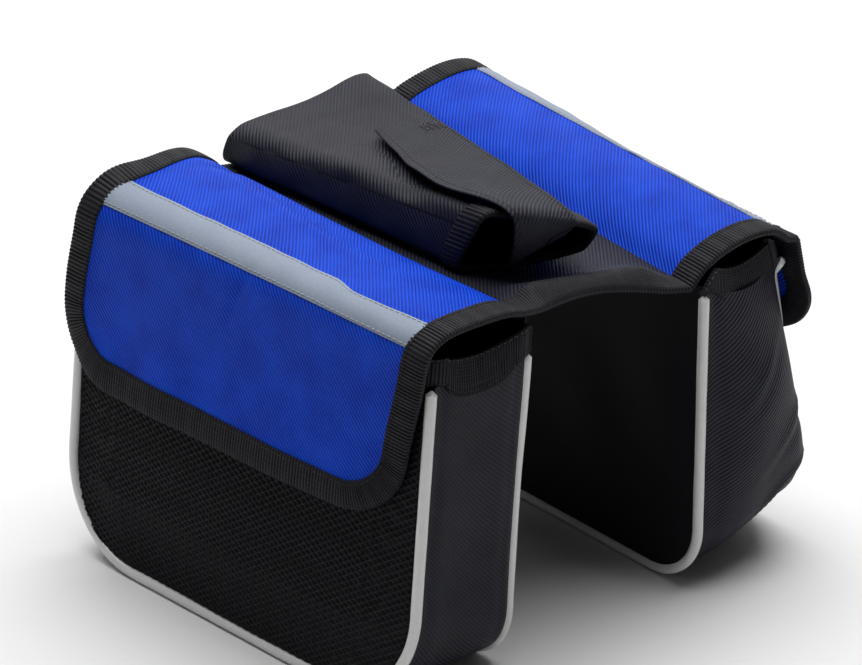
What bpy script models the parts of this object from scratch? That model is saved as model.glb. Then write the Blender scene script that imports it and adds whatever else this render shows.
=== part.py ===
"""A double bicycle bag that hangs over a frame tube.

Two open pouches are joined by a cloth saddle. Each pouch has a blue flap, and a flat
pocket with a closure strap lies on top of the saddle. X runs along the bag with the near
end at +X, the left pouch is at -Y, and the bag stands on the floor at Z = 0.
Every cloth piece is a thin sheet bent into place by the few shape functions below.
"""
import math

import bmesh
import bpy
from mathutils import Vector

# Main sizes in metres
PANEL_LENGTH = 0.190
BAG_HEIGHT = 0.140
MOUTH_DEPTH = 0.046
BASE_DEPTH = {"left": 0.055, "right": 0.066}
CHANNEL_WIDTH = 0.097
OUTER_CORNER_RADIUS = {"left": 0.040, "right": 0.025}
INNER_CORNER_RADIUS = 0.026

# Cloth thicknesses, trims and clearances in metres
CLOTH = 0.0016
PIPING_RADIUS = 0.0021
HEM_WIDTH = 0.014
HEM_THICKNESS = 0.0026
BINDING_WIDTH = 0.012
BINDING_THICKNESS = 0.0026
STRIP_WIDTH = 0.0125
STRIP_THICKNESS = 0.0008
GAP = 0.0003
SEAM_GAP = 0.0018
FACET_ROOM = 0.0006
FLOOR_SEAT = 0.0002

# Soft shape of the pouches in metres
OUTER_BULGE = 0.003
BELLY = {"left": 0.0, "right": 0.006}
END_SWELL = {"left": -0.0025, "right": 0.012}
HEM_LEAN = 0.0025
MOUTH_SAG = {"left": 0.004, "right": 0.006}
PANEL_WAVE = 0.0012

# Extra length of a pouch's near end, at the base and the mouth
NEAR_EXTRA_BASE = {"left": -0.002, "right": 0.004}
NEAR_EXTRA_MOUTH = {"left": 0.0, "right": 0.0023}

# Set-back of the outer panel's ends behind the inner panel's, at the base and the mouth
NEAR_SETBACK_BASE = {"left": -0.002, "right": 0.014}
NEAR_SETBACK_MOUTH = {"left": 0.0030, "right": 0.0075}
FAR_SETBACK_BASE = {"left": -0.006, "right": 0.004}
FAR_SETBACK_MOUTH = {"left": -0.0030, "right": 0.000}

# How each pouch stands: splay outwards at the base, toe-in at the near end, slump in height
SIDES = ("left", "right")
SIGN = {"left": -1.0, "right": 1.0}
SPLAY = {"left": math.radians(2.4), "right": math.radians(0.7)}
SLUMP = {"left": 1.0, "right": 0.985}
TOE_IN = math.radians(2.8)

# Flap outline in metres: length beyond the panels, skew of the hanging edge, corner radius,
# and how far the far end is drawn in at the outer bend and at the hem
FLAP_OVERHANG = 0.001
FLAP_SKEW = {"left": 0.010, "right": 0.0}
FLAP_CORNER_RADIUS = 0.030
FAR_TUCK_BEND = {"left": 0.0065, "right": 0.0}
FAR_TUCK_HEM = {"left": 0.0035, "right": 0.0}

# Flap folds from the bridge seam down to the hem. Columns: depth as a share of the mouth
# depth and rise above the mouth as a share of the height, at the far end, then the near end
FLAP_FOLDS = {
    "left": (
        (-0.34, 0.020, 0.10, 0.045),
        (-0.10, 0.095, 0.27, 0.060),
        (0.22, 0.128, 0.45, 0.068),
        (0.65, 0.126, 0.70, 0.072),
        (1.00, 0.104, 0.96, 0.064),
        (1.17, 0.050, 1.11, 0.020),
        (1.18, -0.060, 1.13, -0.100),
        (1.18, -0.250, 1.16, -0.260),
        (1.18, -0.460, 1.18, -0.462),
    ),
    "right": (
        (-0.04, 0.072, -0.10, -0.055),
        (0.17, 0.116, 0.05, -0.007),
        (0.50, 0.146, 0.28, 0.028),
        (0.80, 0.154, 0.56, 0.042),
        (1.04, 0.137, 0.83, 0.030),
        (1.16, 0.086, 1.00, -0.012),
        (1.19, -0.050, 1.14, -0.088),
        (1.24, -0.224, 1.31, -0.215),
        (1.32, -0.418, 1.45, -0.362),
    ),
}

# Reflective strip's distance from the bridge seam in metres, at the far and the near end
STRIP_PLACE = {"left": (0.0592, 0.0500), "right": (0.0475, 0.0590)}

# Bridge and top pocket sizes in metres
BRIDGE_SAG_FAR = 0.002
BRIDGE_SAG_NEAR = 0.002
BRIDGE_WAIST = 0.008
POCKET_FAR_X = -0.0935
POCKET_NEAR_X = 0.068
POCKET_MOUTH_SKEW = 0.010
POCKET_FAR_SKEW = 0.006
POCKET_LEFT_FAR = -0.030
POCKET_LEFT_NEAR = -0.036
POCKET_RIGHT_FAR = 0.050
POCKET_RIGHT_NEAR = 0.0165
POCKET_HEIGHT_FAR = 0.014
POCKET_HEIGHT_NEAR = 0.024
POCKET_HEM_WIDTH = 0.012

# Section of the pocket: place across the width and share of the height
POCKET_SECTION = (
    (0.000, 0.35), (0.005, 0.80), (0.060, 1.00), (0.300, 1.04), (0.600, 1.02),
    (0.850, 0.97), (0.985, 0.80), (1.000, 0.35), (0.985, 0.00), (0.700, 0.00),
    (0.350, 0.00), (0.015, 0.00),
)

# Closure strap. STRAP_RIGHT_DROP is how far the right edge comes down the mouth's front, as a
# share of the left edge. Path: distance past the pocket's mouth, left edge y, right edge y and
# height above the pocket's top, in metres
STRAP_THICKNESS = 0.0014
STRAP_EDGE_LIFT = 0.0015
STRAP_RIGHT_DROP = 0.33
STRAP_PATH = (
    (-0.110, 0.004, 0.036, 0.0000),
    (-0.080, -0.008, 0.030, 0.0000),
    (-0.050, -0.017, 0.022, 0.0006),
    (-0.024, -0.023, 0.012, 0.0016),
    (-0.006, -0.025, 0.007, 0.0018),
    (0.0015, -0.0255, 0.0055, 0.0012),
    (0.0050, -0.0255, 0.0050, -0.0025),
    (0.0066, -0.0255, 0.0050, -0.0100),
    (0.0076, -0.0250, 0.0050, -0.0190),
)

# Mesh density in steps
SIDE_STEPS = 4
FLAP_SIDE_STEPS = 10
ARC_STEPS = 6
BASE_STEPS = 6
GUSSET_STEPS = 5
CURVE_STEPS = 5

# Cloth finishes: colour, roughness
BLUE = ((0.010, 0.045, 0.62), 0.75)
BLACK = ((0.012, 0.012, 0.014), 0.85)
MESH = ((0.006, 0.006, 0.007), 0.80)
RIBBED = ((0.008, 0.008, 0.009), 0.80)
WHITE = ((0.80, 0.80, 0.78), 0.50)
SILVER = ((0.36, 0.39, 0.41), 0.40)


def mix(start, end, share):
    return start + (end - start) * share


def ease(value):
    """Goes smoothly from 0 to 1."""
    value = min(1.0, max(0.0, value))
    return value * value * (3 - 2 * value)


def hump(share):
    """0 at both ends and 1 in the middle."""
    return math.sin(math.pi * min(1.0, max(0.0, share)))


def depth_at(side, z):
    up = z / BAG_HEIGHT
    return mix(BASE_DEPTH[side], MOUTH_DEPTH, up) + BELLY[side] * hump(up)


def near_x(side, share, z):
    """Near end of the pouch, share 0 at the inner panel and 1 at the outer."""
    extra = mix(NEAR_EXTRA_BASE[side], NEAR_EXTRA_MOUTH[side], z / BAG_HEIGHT)
    setback = mix(NEAR_SETBACK_BASE[side], NEAR_SETBACK_MOUTH[side], z / BAG_HEIGHT)
    return PANEL_LENGTH / 2 + extra - share * setback


def far_x(side, share, z):
    setback = mix(FAR_SETBACK_BASE[side], FAR_SETBACK_MOUTH[side], z / BAG_HEIGHT)
    return -PANEL_LENGTH / 2 + share * setback


def place(side, x, depth, z):
    """Carries a point of an upright pouch to where the splayed, toed-in pouch has it."""
    splay = (BAG_HEIGHT - z) * math.tan(SPLAY[side])
    y = SIGN[side] * (CHANNEL_WIDTH / 2 + depth + splay)
    turn = -SIGN[side] * TOE_IN
    return Vector((
        x * math.cos(turn) - y * math.sin(turn),
        x * math.sin(turn) + y * math.cos(turn),
        PIPING_RADIUS + (z - PIPING_RADIUS) * SLUMP[side],
    ))


def bulge(x, z):
    """How far the outer panel swells at a point."""
    along = min(1.0, abs(x) / (PANEL_LENGTH / 2))
    up = z / (BAG_HEIGHT - HEM_WIDTH)
    return OUTER_BULGE * (1 - along ** 3) * hump(up) if 0 < up < 1 else 0.0


# Flap and bridge surfaces

def smooth_line(points):
    """Points along a smooth line through the given ones."""
    ends = [points[0] * 2 - points[1]] + points + [points[-1] * 2 - points[-2]]
    line = []
    for before, start, end, after in zip(ends, ends[1:], ends[2:], ends[3:]):
        for step in range(CURVE_STEPS):
            s = step / CURVE_STEPS
            line.append(0.5 * (
                2 * start + (end - before) * s
                + (2 * before - 5 * start + 4 * end - after) * s ** 2
                + (3 * start - before - 3 * end + after) * s ** 3
            ))
    return line + [points[-1]]


def fold_line(side, end):
    """The flap's section at one end, as depth and height; end is 0 for far, 2 for near."""
    return smooth_line([
        Vector((row[end] * MOUTH_DEPTH, BAG_HEIGHT * (1 + row[end + 1]), 0))
        for row in FLAP_FOLDS[side]
    ])


FOLD_ENDS = {side: (fold_line(side, 0), fold_line(side, 2)) for side in SIDES}
FLAP_HALF = PANEL_LENGTH / 2 + FLAP_OVERHANG
BAND_REST = PIPING_RADIUS + BINDING_THICKNESS / 2 + GAP + FACET_ROOM


def fold_section(side, share):
    """The flap's section at a share of the length, kept clear of the outer panel."""
    x = mix(-FLAP_HALF, FLAP_HALF, share)
    section = []
    for far, near in zip(*FOLD_ENDS[side]):
        point = mix(far, near, share)
        if point.y < BAG_HEIGHT + HEM_THICKNESS and point.x > MOUTH_DEPTH:
            rest = depth_at(side, point.y) + bulge(x, point.y) + BAND_REST
            point.x = max(point.x, rest)
        section.append(point)
    return section


def line_length(line):
    return sum((b - a).length for a, b in zip(line, line[1:]))


FLAP_REACH = {
    side: (line_length(FOLD_ENDS[side][0]) + line_length(FOLD_ENDS[side][1])) / 2 for side in SIDES
}


def along_line(line, share):
    """The point at a share of a line's length."""
    left = share * line_length(line)
    for a, b in zip(line, line[1:]):
        step = (b - a).length
        if left <= step:
            return mix(a, b, left / step)
        left -= step
    return line[-1] + (line[-1] - line[-2]).normalized() * left


def flap_point(side, x, reach):
    """A point of the flap: x along the bag and reach down the cloth from the bridge seam."""
    drop = reach / FLAP_REACH[side]
    point = along_line(fold_section(side, x / FLAP_HALF / 2 + 0.5), drop)
    skew = FLAP_SKEW[side] * ease((drop - 0.3) / 0.6)
    tuck = mix(FAR_TUCK_BEND[side], FAR_TUCK_HEM[side], ease((drop - 0.45) / 0.3))
    tuck *= ease(drop / 0.35) * (0.5 - x / FLAP_HALF / 2)
    return place(side, x - skew + tuck, point.x, point.y)


def flap_above(side, x, reach, height):
    """A point at a height above the flap's middle surface."""
    step = CLOTH
    here = flap_point(side, x, reach)
    along = flap_point(side, x + step, reach) - here
    down = flap_point(side, x, reach + step) - here
    out = along.cross(down).normalized() * SIGN[side]
    return here + out * height


def bridge_point(x, share):
    """A point of the bridge, share 0 at the left seam and 1 at the right."""
    x *= 1 - BRIDGE_WAIST / FLAP_HALF * hump(share)
    left = flap_point("left", x, 0.0)
    right = flap_point("right", x, 0.0)
    sag = mix(BRIDGE_SAG_FAR, BRIDGE_SAG_NEAR, x / FLAP_HALF / 2 + 0.5)
    point = left.lerp(right, share)
    point.z -= 4 * sag * share * (1 - share)
    return point


def bridge_height(x, y):
    """The bridge's height under a point, taking x along the bag as the point's own."""
    left = bridge_point(x, 0.0).y
    right = bridge_point(x, 1.0).y
    return bridge_point(x, (y - left) / (right - left)).z


def cover_height(side, x, depth):
    """Height of the flap or bridge over a point of the pouch, in the pouch's own scale."""
    section = fold_section(side, x / FLAP_HALF / 2 + 0.5)
    if depth < section[0].x:
        over = bridge_height(x, place(side, x, depth, BAG_HEIGHT).y)
        return PIPING_RADIUS + (over - PIPING_RADIUS) / SLUMP[side]
    for a, b in zip(section, section[1:]):
        if a.x <= depth < b.x:
            return mix(a.y, b.y, (depth - a.x) / (b.x - a.x))
    return section[-1].y


def lowest_cover(side, x, depth):
    """The cover's height less the room that its binding takes, over a cloth's thickness."""
    reach = (HEM_THICKNESS + BINDING_THICKNESS) / 2 + GAP
    over = min(cover_height(side, x, depth + d) for d in (-reach, 0.0, reach))
    return over - BINDING_THICKNESS / 2 - GAP - FACET_ROOM / 2


# Outlines and sheets

def u_outline(near_side, far_side, bottom, radius, side_steps):
    """Points down the near side, along the bottom and up the far side.

    near_side and far_side give x at a height and their own top; bottom is a height.
    side_steps is the number of steps down each straight side.
    """
    near_at, near_top = near_side
    far_at, far_top = far_side
    points = []
    turn = bottom + radius
    for step in range(side_steps):
        z = mix(near_top, turn, step / side_steps)
        points.append((near_at(z), z))
    far_arc = []
    for step in range(ARC_STEPS + 1):
        angle = math.pi / 2 * step / ARC_STEPS
        points.append((near_at(turn) - radius * (1 - math.cos(angle)),
                       turn - radius * math.sin(angle)))
        far_arc.append((far_at(turn) + radius * (1 - math.sin(angle)),
                        turn - radius * math.cos(angle)))
    start, end = points[-1], far_arc[0]
    for step in range(1, BASE_STEPS):
        points.append((mix(start[0], end[0], step / BASE_STEPS), bottom))
    points += far_arc
    for step in range(1, side_steps + 1):
        z = mix(turn, far_top, step / side_steps)
        points.append((far_at(z), z))
    return points


def filled_outline(outline, top_at, side_steps=SIDE_STEPS):
    """Rows of points that fill a U outline, from the bottom row to the top edge."""
    rows = side_steps + ARC_STEPS // 2
    near = outline[:rows + 1][::-1]
    base = outline[rows:len(outline) - rows][::-1]
    far = outline[len(outline) - rows - 1:]
    columns = len(base) - 1
    top = []
    for i in range(columns + 1):
        x = mix(far[-1][0], near[-1][0], i / columns)
        top.append((x, top_at(x)))
    grid = []
    for j in range(rows + 1):
        v = j / rows
        row = []
        for i in range(columns + 1):
            u = i / columns
            row.append(tuple(
                mix(base[i][k], top[i][k], v) + mix(far[j][k], near[j][k], u)
                - mix(mix(base[0][k], base[-1][k], u), mix(top[0][k], top[-1][k], u), v)
                for k in (0, 1)
            ))
        grid.append(row)
    return grid


def material(name, finish):
    made = bpy.data.materials.get(name)
    if made:
        return made
    colour, roughness = finish
    made = bpy.data.materials.new(name)
    made.use_nodes = True
    shader = made.node_tree.nodes["Principled BSDF"]
    shader.inputs["Base Color"].default_value = (*colour, 1.0)
    shader.inputs["Roughness"].default_value = roughness
    shader.inputs["Metallic"].default_value = 0.0
    made.diffuse_color = (*colour, 1.0)
    return made


def add_object(name, data, cloth):
    obj = bpy.data.objects.new(name, data)
    data.materials.append(material(*cloth))
    collection.objects.link(obj)
    obj.parent = origin
    return obj


def mesh_from_rows(rows, closed):
    """A grid moved onto rows of points; closed joins each row's last point to its first."""
    grid = bmesh.new()
    wide, high = len(rows[0]) + (1 if closed else 0), len(rows)
    bmesh.ops.create_grid(grid, x_segments=wide - 1, y_segments=high - 1, size=0.5)
    for vert in grid.verts:
        i = round((vert.co.x + 0.5) * (wide - 1))
        j = round((vert.co.y + 0.5) * (high - 1))
        vert.co = rows[j][i % len(rows[j])]
    if closed:
        bmesh.ops.remove_doubles(grid, verts=grid.verts, dist=GAP / 10)
    return grid


def sheet(name, rows, thickness, cloth, closed=False, end_cap=False):
    """A cloth piece: rows of middle-surface points given a thickness."""
    grid = mesh_from_rows(rows, closed)
    if end_cap:
        low = [v for v in grid.verts if any((v.co - p).length < GAP / 10 for p in rows[0])]
        edges = [e for e in grid.edges if e.is_boundary and all(v in low for v in e.verts)]
        bmesh.ops.edgenet_fill(grid, edges=edges)
    bmesh.ops.recalc_face_normals(grid, faces=grid.faces)
    data = bpy.data.meshes.new(name)
    grid.to_mesh(data)
    grid.free()
    obj = add_object(name, data, cloth)
    solid = obj.modifiers.new("cloth", "SOLIDIFY")
    solid.thickness = thickness
    solid.offset = 0.0
    solid.use_even_offset = True
    data.shade_smooth()
    data.set_sharp_from_angle(angle=math.radians(40))
    return obj


# Pouch pieces

def pouch_outline(side, share, near_top, far_top, inset=0.0):
    radius = mix(INNER_CORNER_RADIUS, OUTER_CORNER_RADIUS[side], share) - inset
    return u_outline(
        (lambda z: near_x(side, share, z) - inset, near_top),
        (lambda z: far_x(side, share, z) + inset, far_top),
        PIPING_RADIUS + inset, radius, SIDE_STEPS,
    )


CLOTH_TOP = BAG_HEIGHT - HEM_WIDTH - GAP
SEAM_INSET = PIPING_RADIUS + GAP
SEAM_SHARE = 1.5 * SEAM_INSET / MOUTH_DEPTH


def mouth_sag(share):
    """How the mouth's end sags between its two seams, 0 at each seam and 1 in the middle."""
    return hump((share - SEAM_SHARE) / (1 - 2 * SEAM_SHARE))


def make_outer_panel(side):
    outline = pouch_outline(side, 1.0, CLOTH_TOP, CLOTH_TOP, SEAM_INSET)
    rows = [
        [place(side, x, depth_at(side, z) + bulge(x, z), z) for x, z in row]
        for row in filled_outline(outline, lambda x: CLOTH_TOP)
    ]
    sheet(f"{side}_outer_panel", rows, CLOTH, ("Mesh cloth", MESH))


def make_inner_panel(side):
    half = PANEL_LENGTH / 2 - SEAM_INSET
    tops = [lowest_cover(side, x, 0.0) for x in (half, -half)]
    outline = pouch_outline(side, 0.0, tops[0], tops[1], SEAM_INSET)
    rows = [
        [place(side, x, PANEL_WAVE * math.sin(x / half * 5) * hump(z / BAG_HEIGHT), z)
         for x, z in row]
        for row in filled_outline(outline, lambda x: lowest_cover(side, x, 0.0))
    ]
    sheet(f"{side}_inner_panel", rows, CLOTH, ("Black cloth", BLACK))


def make_gusset(side):
    """The strip between the two seams. Its ends swell and its bottom rests on the floor."""
    inner = pouch_outline(side, 0.0, CLOTH_TOP, CLOTH_TOP)
    outer = pouch_outline(side, 1.0, CLOTH_TOP, CLOTH_TOP)
    rows = []
    for step in range(GUSSET_STEPS + 1):
        row = []
        for (ix, iz), (ox, oz) in zip(inner, outer):
            depth = depth_at(side, mix(iz, oz, 0.5))
            share = mix(SEAM_INSET / depth, 1 - SEAM_INSET / depth, step / GUSSET_STEPS)
            x, z = mix(ix, ox, share), mix(iz, oz, share)
            z -= MOUTH_SAG[side] * mouth_sag(share) * ease(z / CLOTH_TOP)
            low = ease(1 - (z - PIPING_RADIUS) / INNER_CORNER_RADIUS)
            settle = (PIPING_RADIUS + FLOOR_SEAT - CLOTH / 2) * min(1.0, 2.6 * min(share, 1 - share))
            swell = END_SWELL[side] * hump(share) * hump(z / CLOTH_TOP) * (1 - low)
            x += math.copysign(swell, x)
            row.append(place(side, x, share * depth_at(side, z), z - settle * low))
        rows.append(row)
    sheet(f"{side}_gusset", rows, CLOTH, ("Black cloth", BLACK))


def make_piping(side, name, share):
    outline = pouch_outline(side, share, CLOTH_TOP, CLOTH_TOP)
    curve = bpy.data.curves.new(f"{side}_{name}", "CURVE")
    curve.dimensions = "3D"
    curve.bevel_depth = PIPING_RADIUS
    curve.bevel_resolution = 2
    curve.use_fill_caps = True
    spline = curve.splines.new("POLY")
    spline.points.add(len(outline) - 1)
    for point, (x, z) in zip(spline.points, outline):
        point.co = (*place(side, x, share * depth_at(side, z), z), 1.0)
    add_object(f"{side}_{name}", curve, ("White piping", WHITE))


def hem_path(side):
    """Plan of the mouth as x, depth share and mouth sag: near end, outer side, far end."""
    turn = HEM_WIDTH * 0.5
    turn_share = turn / MOUTH_DEPTH
    start = -CLOTH / 2 / MOUTH_DEPTH
    shares = [start] + [mix(SEAM_SHARE, 1 - turn_share, step / 4) for step in range(5)]
    near = [(near_x(side, s, BAG_HEIGHT), s, mouth_sag(s)) for s in shares]
    far = [(far_x(side, s, BAG_HEIGHT), s, mouth_sag(s)) for s in shares]
    near_corner, far_corner = near_x(side, 1.0, BAG_HEIGHT), far_x(side, 1.0, BAG_HEIGHT)
    bend = 1 - turn_share * 0.29
    near.append((near_corner - turn * 0.29, bend, 0.0))
    far.append((far_corner + turn * 0.29, bend, 0.0))
    side_steps = 7
    outer = [
        (mix(near_corner - turn, far_corner + turn, step / side_steps), 1.0, 0.0)
        for step in range(side_steps + 1)
    ]
    return near + outer + far[::-1]


def make_mouth_hem(side):
    path = hem_path(side)
    rows = []
    for level in (0.0, 0.5, 1.0):
        row = []
        for x, share, sag in path:
            drop = MOUTH_SAG[side] * sag
            top = min(BAG_HEIGHT - drop, lowest_cover(side, x, share * MOUTH_DEPTH))
            z = mix(CLOTH_TOP + GAP - drop, top, level)
            x -= math.copysign(HEM_LEAN * sag * level, x)
            row.append(place(side, x, share * depth_at(side, z), z))
        rows.append(row)
    sheet(f"{side}_mouth_hem", rows, HEM_THICKNESS, ("Ribbed tape", RIBBED))


# Flap pieces, worked out on the flat cloth and laid on the flap surface

def flap_outline(side, inset):
    half = FLAP_HALF - inset
    reach = FLAP_REACH[side] - inset
    radius = FLAP_CORNER_RADIUS - inset
    points = u_outline(
        (lambda z: half, -SEAM_GAP / 2), (lambda z: -half, -SEAM_GAP / 2),
        -reach, radius, FLAP_SIDE_STEPS,
    )
    return [(x, -z) for x, z in points]


def make_flap(side):
    outline = [(x, -reach) for x, reach in flap_outline(side, BINDING_WIDTH + GAP)]
    rows = [
        [flap_point(side, x, -z) for x, z in row]
        for row in filled_outline(outline, lambda x: -SEAM_GAP / 2, FLAP_SIDE_STEPS)
    ]
    sheet(f"{side}_flap", rows, CLOTH, ("Blue cloth", BLUE))


def make_flap_binding(side):
    outer = flap_outline(side, 0.0)
    inner = flap_outline(side, BINDING_WIDTH)
    rows = [
        [flap_point(side, mix(ox, ix, level), mix(oz, iz, level))
         for (ox, oz), (ix, iz) in zip(outer, inner)]
        for level in (0.0, 1.0)
    ]
    sheet(f"{side}_flap_binding", rows, BINDING_THICKNESS, ("Ribbed tape", RIBBED))


def make_reflective_strip(side):
    far, near = STRIP_PLACE[side]
    half = FLAP_HALF - BINDING_WIDTH - 2 * GAP - CLOTH / 2
    height = (CLOTH + STRIP_THICKNESS) / 2 + GAP + FACET_ROOM
    columns, steps = 10, 4
    rows = []
    for j in range(steps + 1):
        row = []
        for i in range(columns + 1):
            share = i / columns
            reach = mix(far, near, share) + STRIP_WIDTH * (j / steps - 0.5)
            row.append(flap_above(side, mix(-half, half, share), reach, height))
        rows.append(row)
    sheet(f"{side}_reflective_strip", rows, STRIP_THICKNESS, ("Reflective tape", SILVER))


# Bridge, pocket and strap

def bridge_rows(start, end, columns):
    edge = SEAM_GAP / 2 / CHANNEL_WIDTH
    return [
        [bridge_point(mix(start, end, i / columns), mix(edge, 1 - edge, j / 8))
         for i in range(columns + 1)]
        for j in range(9)
    ]


def make_bridge():
    half = FLAP_HALF - BINDING_WIDTH - GAP
    sheet("bridge", bridge_rows(-half, half, 8), CLOTH, ("Black cloth", BLACK))
    for name, sign in (("near", 1.0), ("far", -1.0)):
        rows = bridge_rows(sign * (FLAP_HALF - BINDING_WIDTH), sign * FLAP_HALF, 1)
        sheet(f"bridge_binding_{name}", rows, BINDING_THICKNESS, ("Ribbed tape", RIBBED))


def pocket_point(x, across, level):
    """A point of the pocket's wall: across its width, level 0 at the floor and 1 on top."""
    share = (x - POCKET_FAR_X) / (POCKET_NEAR_X - POCKET_FAR_X)
    left = mix(POCKET_LEFT_FAR, POCKET_LEFT_NEAR, share)
    right = mix(POCKET_RIGHT_FAR, POCKET_RIGHT_NEAR, share)
    y = mix(left, right, across)
    x += mix(POCKET_FAR_SKEW, -POCKET_MOUTH_SKEW, share) * (0.5 - across)
    floor = bridge_height(x, y) + (BINDING_THICKNESS + HEM_THICKNESS) / 2 + GAP
    height = mix(POCKET_HEIGHT_FAR, POCKET_HEIGHT_NEAR, share)
    lower_right = mix(1.0, 0.72, share * across)
    return Vector((x, y, floor + level * height * lower_right))


def pocket_rows(start, end, steps):
    return [
        [pocket_point(mix(start, end, step / steps), across, level)
         for across, level in POCKET_SECTION]
        for step in range(steps + 1)
    ]


def make_top_pocket():
    mouth = POCKET_NEAR_X - POCKET_HEM_WIDTH
    sheet("top_pocket", pocket_rows(POCKET_FAR_X, mouth - GAP, 7), CLOTH,
          ("Black cloth", BLACK), closed=True, end_cap=True)
    sheet("top_pocket_hem", pocket_rows(mouth, POCKET_NEAR_X, 1), HEM_THICKNESS,
          ("Ribbed tape", RIBBED), closed=True)


def pocket_top(x, y):
    """Height of the pocket's upper side above a point."""
    x = min(x, POCKET_NEAR_X)
    share = (x - POCKET_FAR_X) / (POCKET_NEAR_X - POCKET_FAR_X)
    left = mix(POCKET_LEFT_FAR, POCKET_LEFT_NEAR, share)
    right = mix(POCKET_RIGHT_FAR, POCKET_RIGHT_NEAR, share)
    across = (y - left) / (right - left)
    upper = [row for row in POCKET_SECTION if row[1] > 0.5]
    for (a, low), (b, high) in zip(upper, upper[1:]):
        if a <= across <= b:
            return pocket_point(x, across, mix(low, high, (across - a) / (b - a))).z
    return pocket_point(x, across, upper[-1][1]).z


def make_closure_strap():
    lift = (HEM_THICKNESS + STRAP_THICKNESS) / 2 + GAP
    start = STRAP_PATH[0][0]
    rows = []
    for j in range(5):
        row = []
        for past_mouth, left, right, height in STRAP_PATH:
            x = POCKET_NEAR_X + past_mouth
            y = mix(left, right, j / 4)
            edge_lift = STRAP_EDGE_LIFT * (1 - j / 4) * hump(1 - past_mouth / start)
            if height < 0:
                height *= mix(1.0, STRAP_RIGHT_DROP, j / 4)
            row.append(Vector((x, y, pocket_top(x, y) + lift + height + edge_lift)))
        rows.append(row)
    sheet("closure_strap", rows, STRAP_THICKNESS, ("Black cloth", BLACK))


def centre_on_floor():
    """Moves the shared origin so that the bag's box is centred over it, on the floor."""
    bpy.context.view_layer.update()
    graph = bpy.context.evaluated_depsgraph_get()
    low, high = [math.inf] * 3, [-math.inf] * 3
    for obj in collection.objects:
        if obj.type == "EMPTY":
            continue
        shape = obj.evaluated_get(graph)
        mesh = shape.to_mesh()
        for vert in mesh.vertices:
            point = obj.matrix_world @ vert.co
            low = [min(a, b) for a, b in zip(low, point)]
            high = [max(a, b) for a, b in zip(high, point)]
        shape.to_mesh_clear()
    origin.location = (-(low[0] + high[0]) / 2, -(low[1] + high[1]) / 2, -low[2])


for old in list(bpy.data.objects):
    bpy.data.objects.remove(old)
collection = bpy.data.collections.new("Bicycle saddle bag")
bpy.context.scene.collection.children.link(collection)
origin = bpy.data.objects.new("bag_origin", None)
collection.objects.link(origin)

for pouch in SIDES:
    make_outer_panel(pouch)
    make_inner_panel(pouch)
    make_gusset(pouch)
    make_piping(pouch, "outer_piping", 1.0)
    make_piping(pouch, "inner_piping", 0.0)
    make_mouth_hem(pouch)
    make_flap(pouch)
    make_flap_binding(pouch)
    make_reflective_strip(pouch)
make_bridge()
make_top_pocket()
make_closure_strap()
centre_on_floor()
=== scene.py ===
"""Looks of the double bicycle bag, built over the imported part.

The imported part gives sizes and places. Every piece here follows the same shape functions
with finer steps, and adds ribs, weave, seams, soft dents and creases.
"""
import math

import bpy
import numpy as np
from mathutils import Matrix, Vector


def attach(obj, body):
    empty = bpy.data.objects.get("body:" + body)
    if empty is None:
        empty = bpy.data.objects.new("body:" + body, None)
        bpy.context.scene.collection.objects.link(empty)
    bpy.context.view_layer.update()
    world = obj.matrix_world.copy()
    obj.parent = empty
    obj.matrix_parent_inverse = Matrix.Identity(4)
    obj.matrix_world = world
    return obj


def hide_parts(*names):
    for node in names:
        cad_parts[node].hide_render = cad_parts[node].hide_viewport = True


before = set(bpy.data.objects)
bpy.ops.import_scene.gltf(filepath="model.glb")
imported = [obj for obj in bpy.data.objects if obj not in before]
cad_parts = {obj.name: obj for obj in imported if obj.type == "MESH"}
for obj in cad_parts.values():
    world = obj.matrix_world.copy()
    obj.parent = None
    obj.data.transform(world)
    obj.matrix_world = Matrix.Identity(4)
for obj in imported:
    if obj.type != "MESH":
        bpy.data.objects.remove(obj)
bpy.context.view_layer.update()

# Main sizes in metres, as in the part
PANEL_LENGTH = 0.190
BAG_HEIGHT = 0.140
MOUTH_DEPTH = 0.046
BASE_DEPTH = {"left": 0.055, "right": 0.066}
CHANNEL_WIDTH = 0.097
OUTER_CORNER_RADIUS = {"left": 0.040, "right": 0.025}
INNER_CORNER_RADIUS = 0.026
CLOTH = 0.0016
PIPING_RADIUS = 0.0021
HEM_WIDTH = 0.014
HEM_THICKNESS = 0.0026
BINDING_WIDTH = 0.012
BINDING_THICKNESS = 0.0026
SEW_LAP = 0.003
STRIP_WIDTH = 0.0125
GAP = 0.0003
FACET_ROOM = 0.0006
FLOOR_SEAT = 0.0002
OUTER_BULGE = 0.003
BELLY = {"left": 0.0, "right": 0.006}
END_SWELL = {"left": -0.0025, "right": 0.012}
HEM_LEAN = 0.0025
MOUTH_SAG = {"left": 0.004, "right": 0.006}
PANEL_WAVE = 0.0012
NEAR_EXTRA_BASE = {"left": -0.002, "right": 0.004}
NEAR_EXTRA_MOUTH = {"left": 0.0, "right": 0.0023}
NEAR_SETBACK_BASE = {"left": -0.002, "right": 0.014}
NEAR_SETBACK_MOUTH = {"left": 0.0030, "right": 0.0075}
FAR_SETBACK_BASE = {"left": -0.006, "right": 0.004}
FAR_SETBACK_MOUTH = {"left": -0.0030, "right": 0.000}
SIDES = ("left", "right")
SIGN = {"left": -1.0, "right": 1.0}
SPLAY = {"left": math.radians(2.4), "right": math.radians(0.7)}
SLUMP = {"left": 1.0, "right": 0.985}
TOE_IN = math.radians(2.8)
FLAP_OVERHANG = 0.001
FLAP_SKEW = {"left": 0.010, "right": 0.0}
FLAP_CORNER_RADIUS = 0.030
FAR_TUCK_BEND = {"left": 0.0065, "right": 0.0}
FAR_TUCK_HEM = {"left": 0.0035, "right": 0.0}
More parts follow.
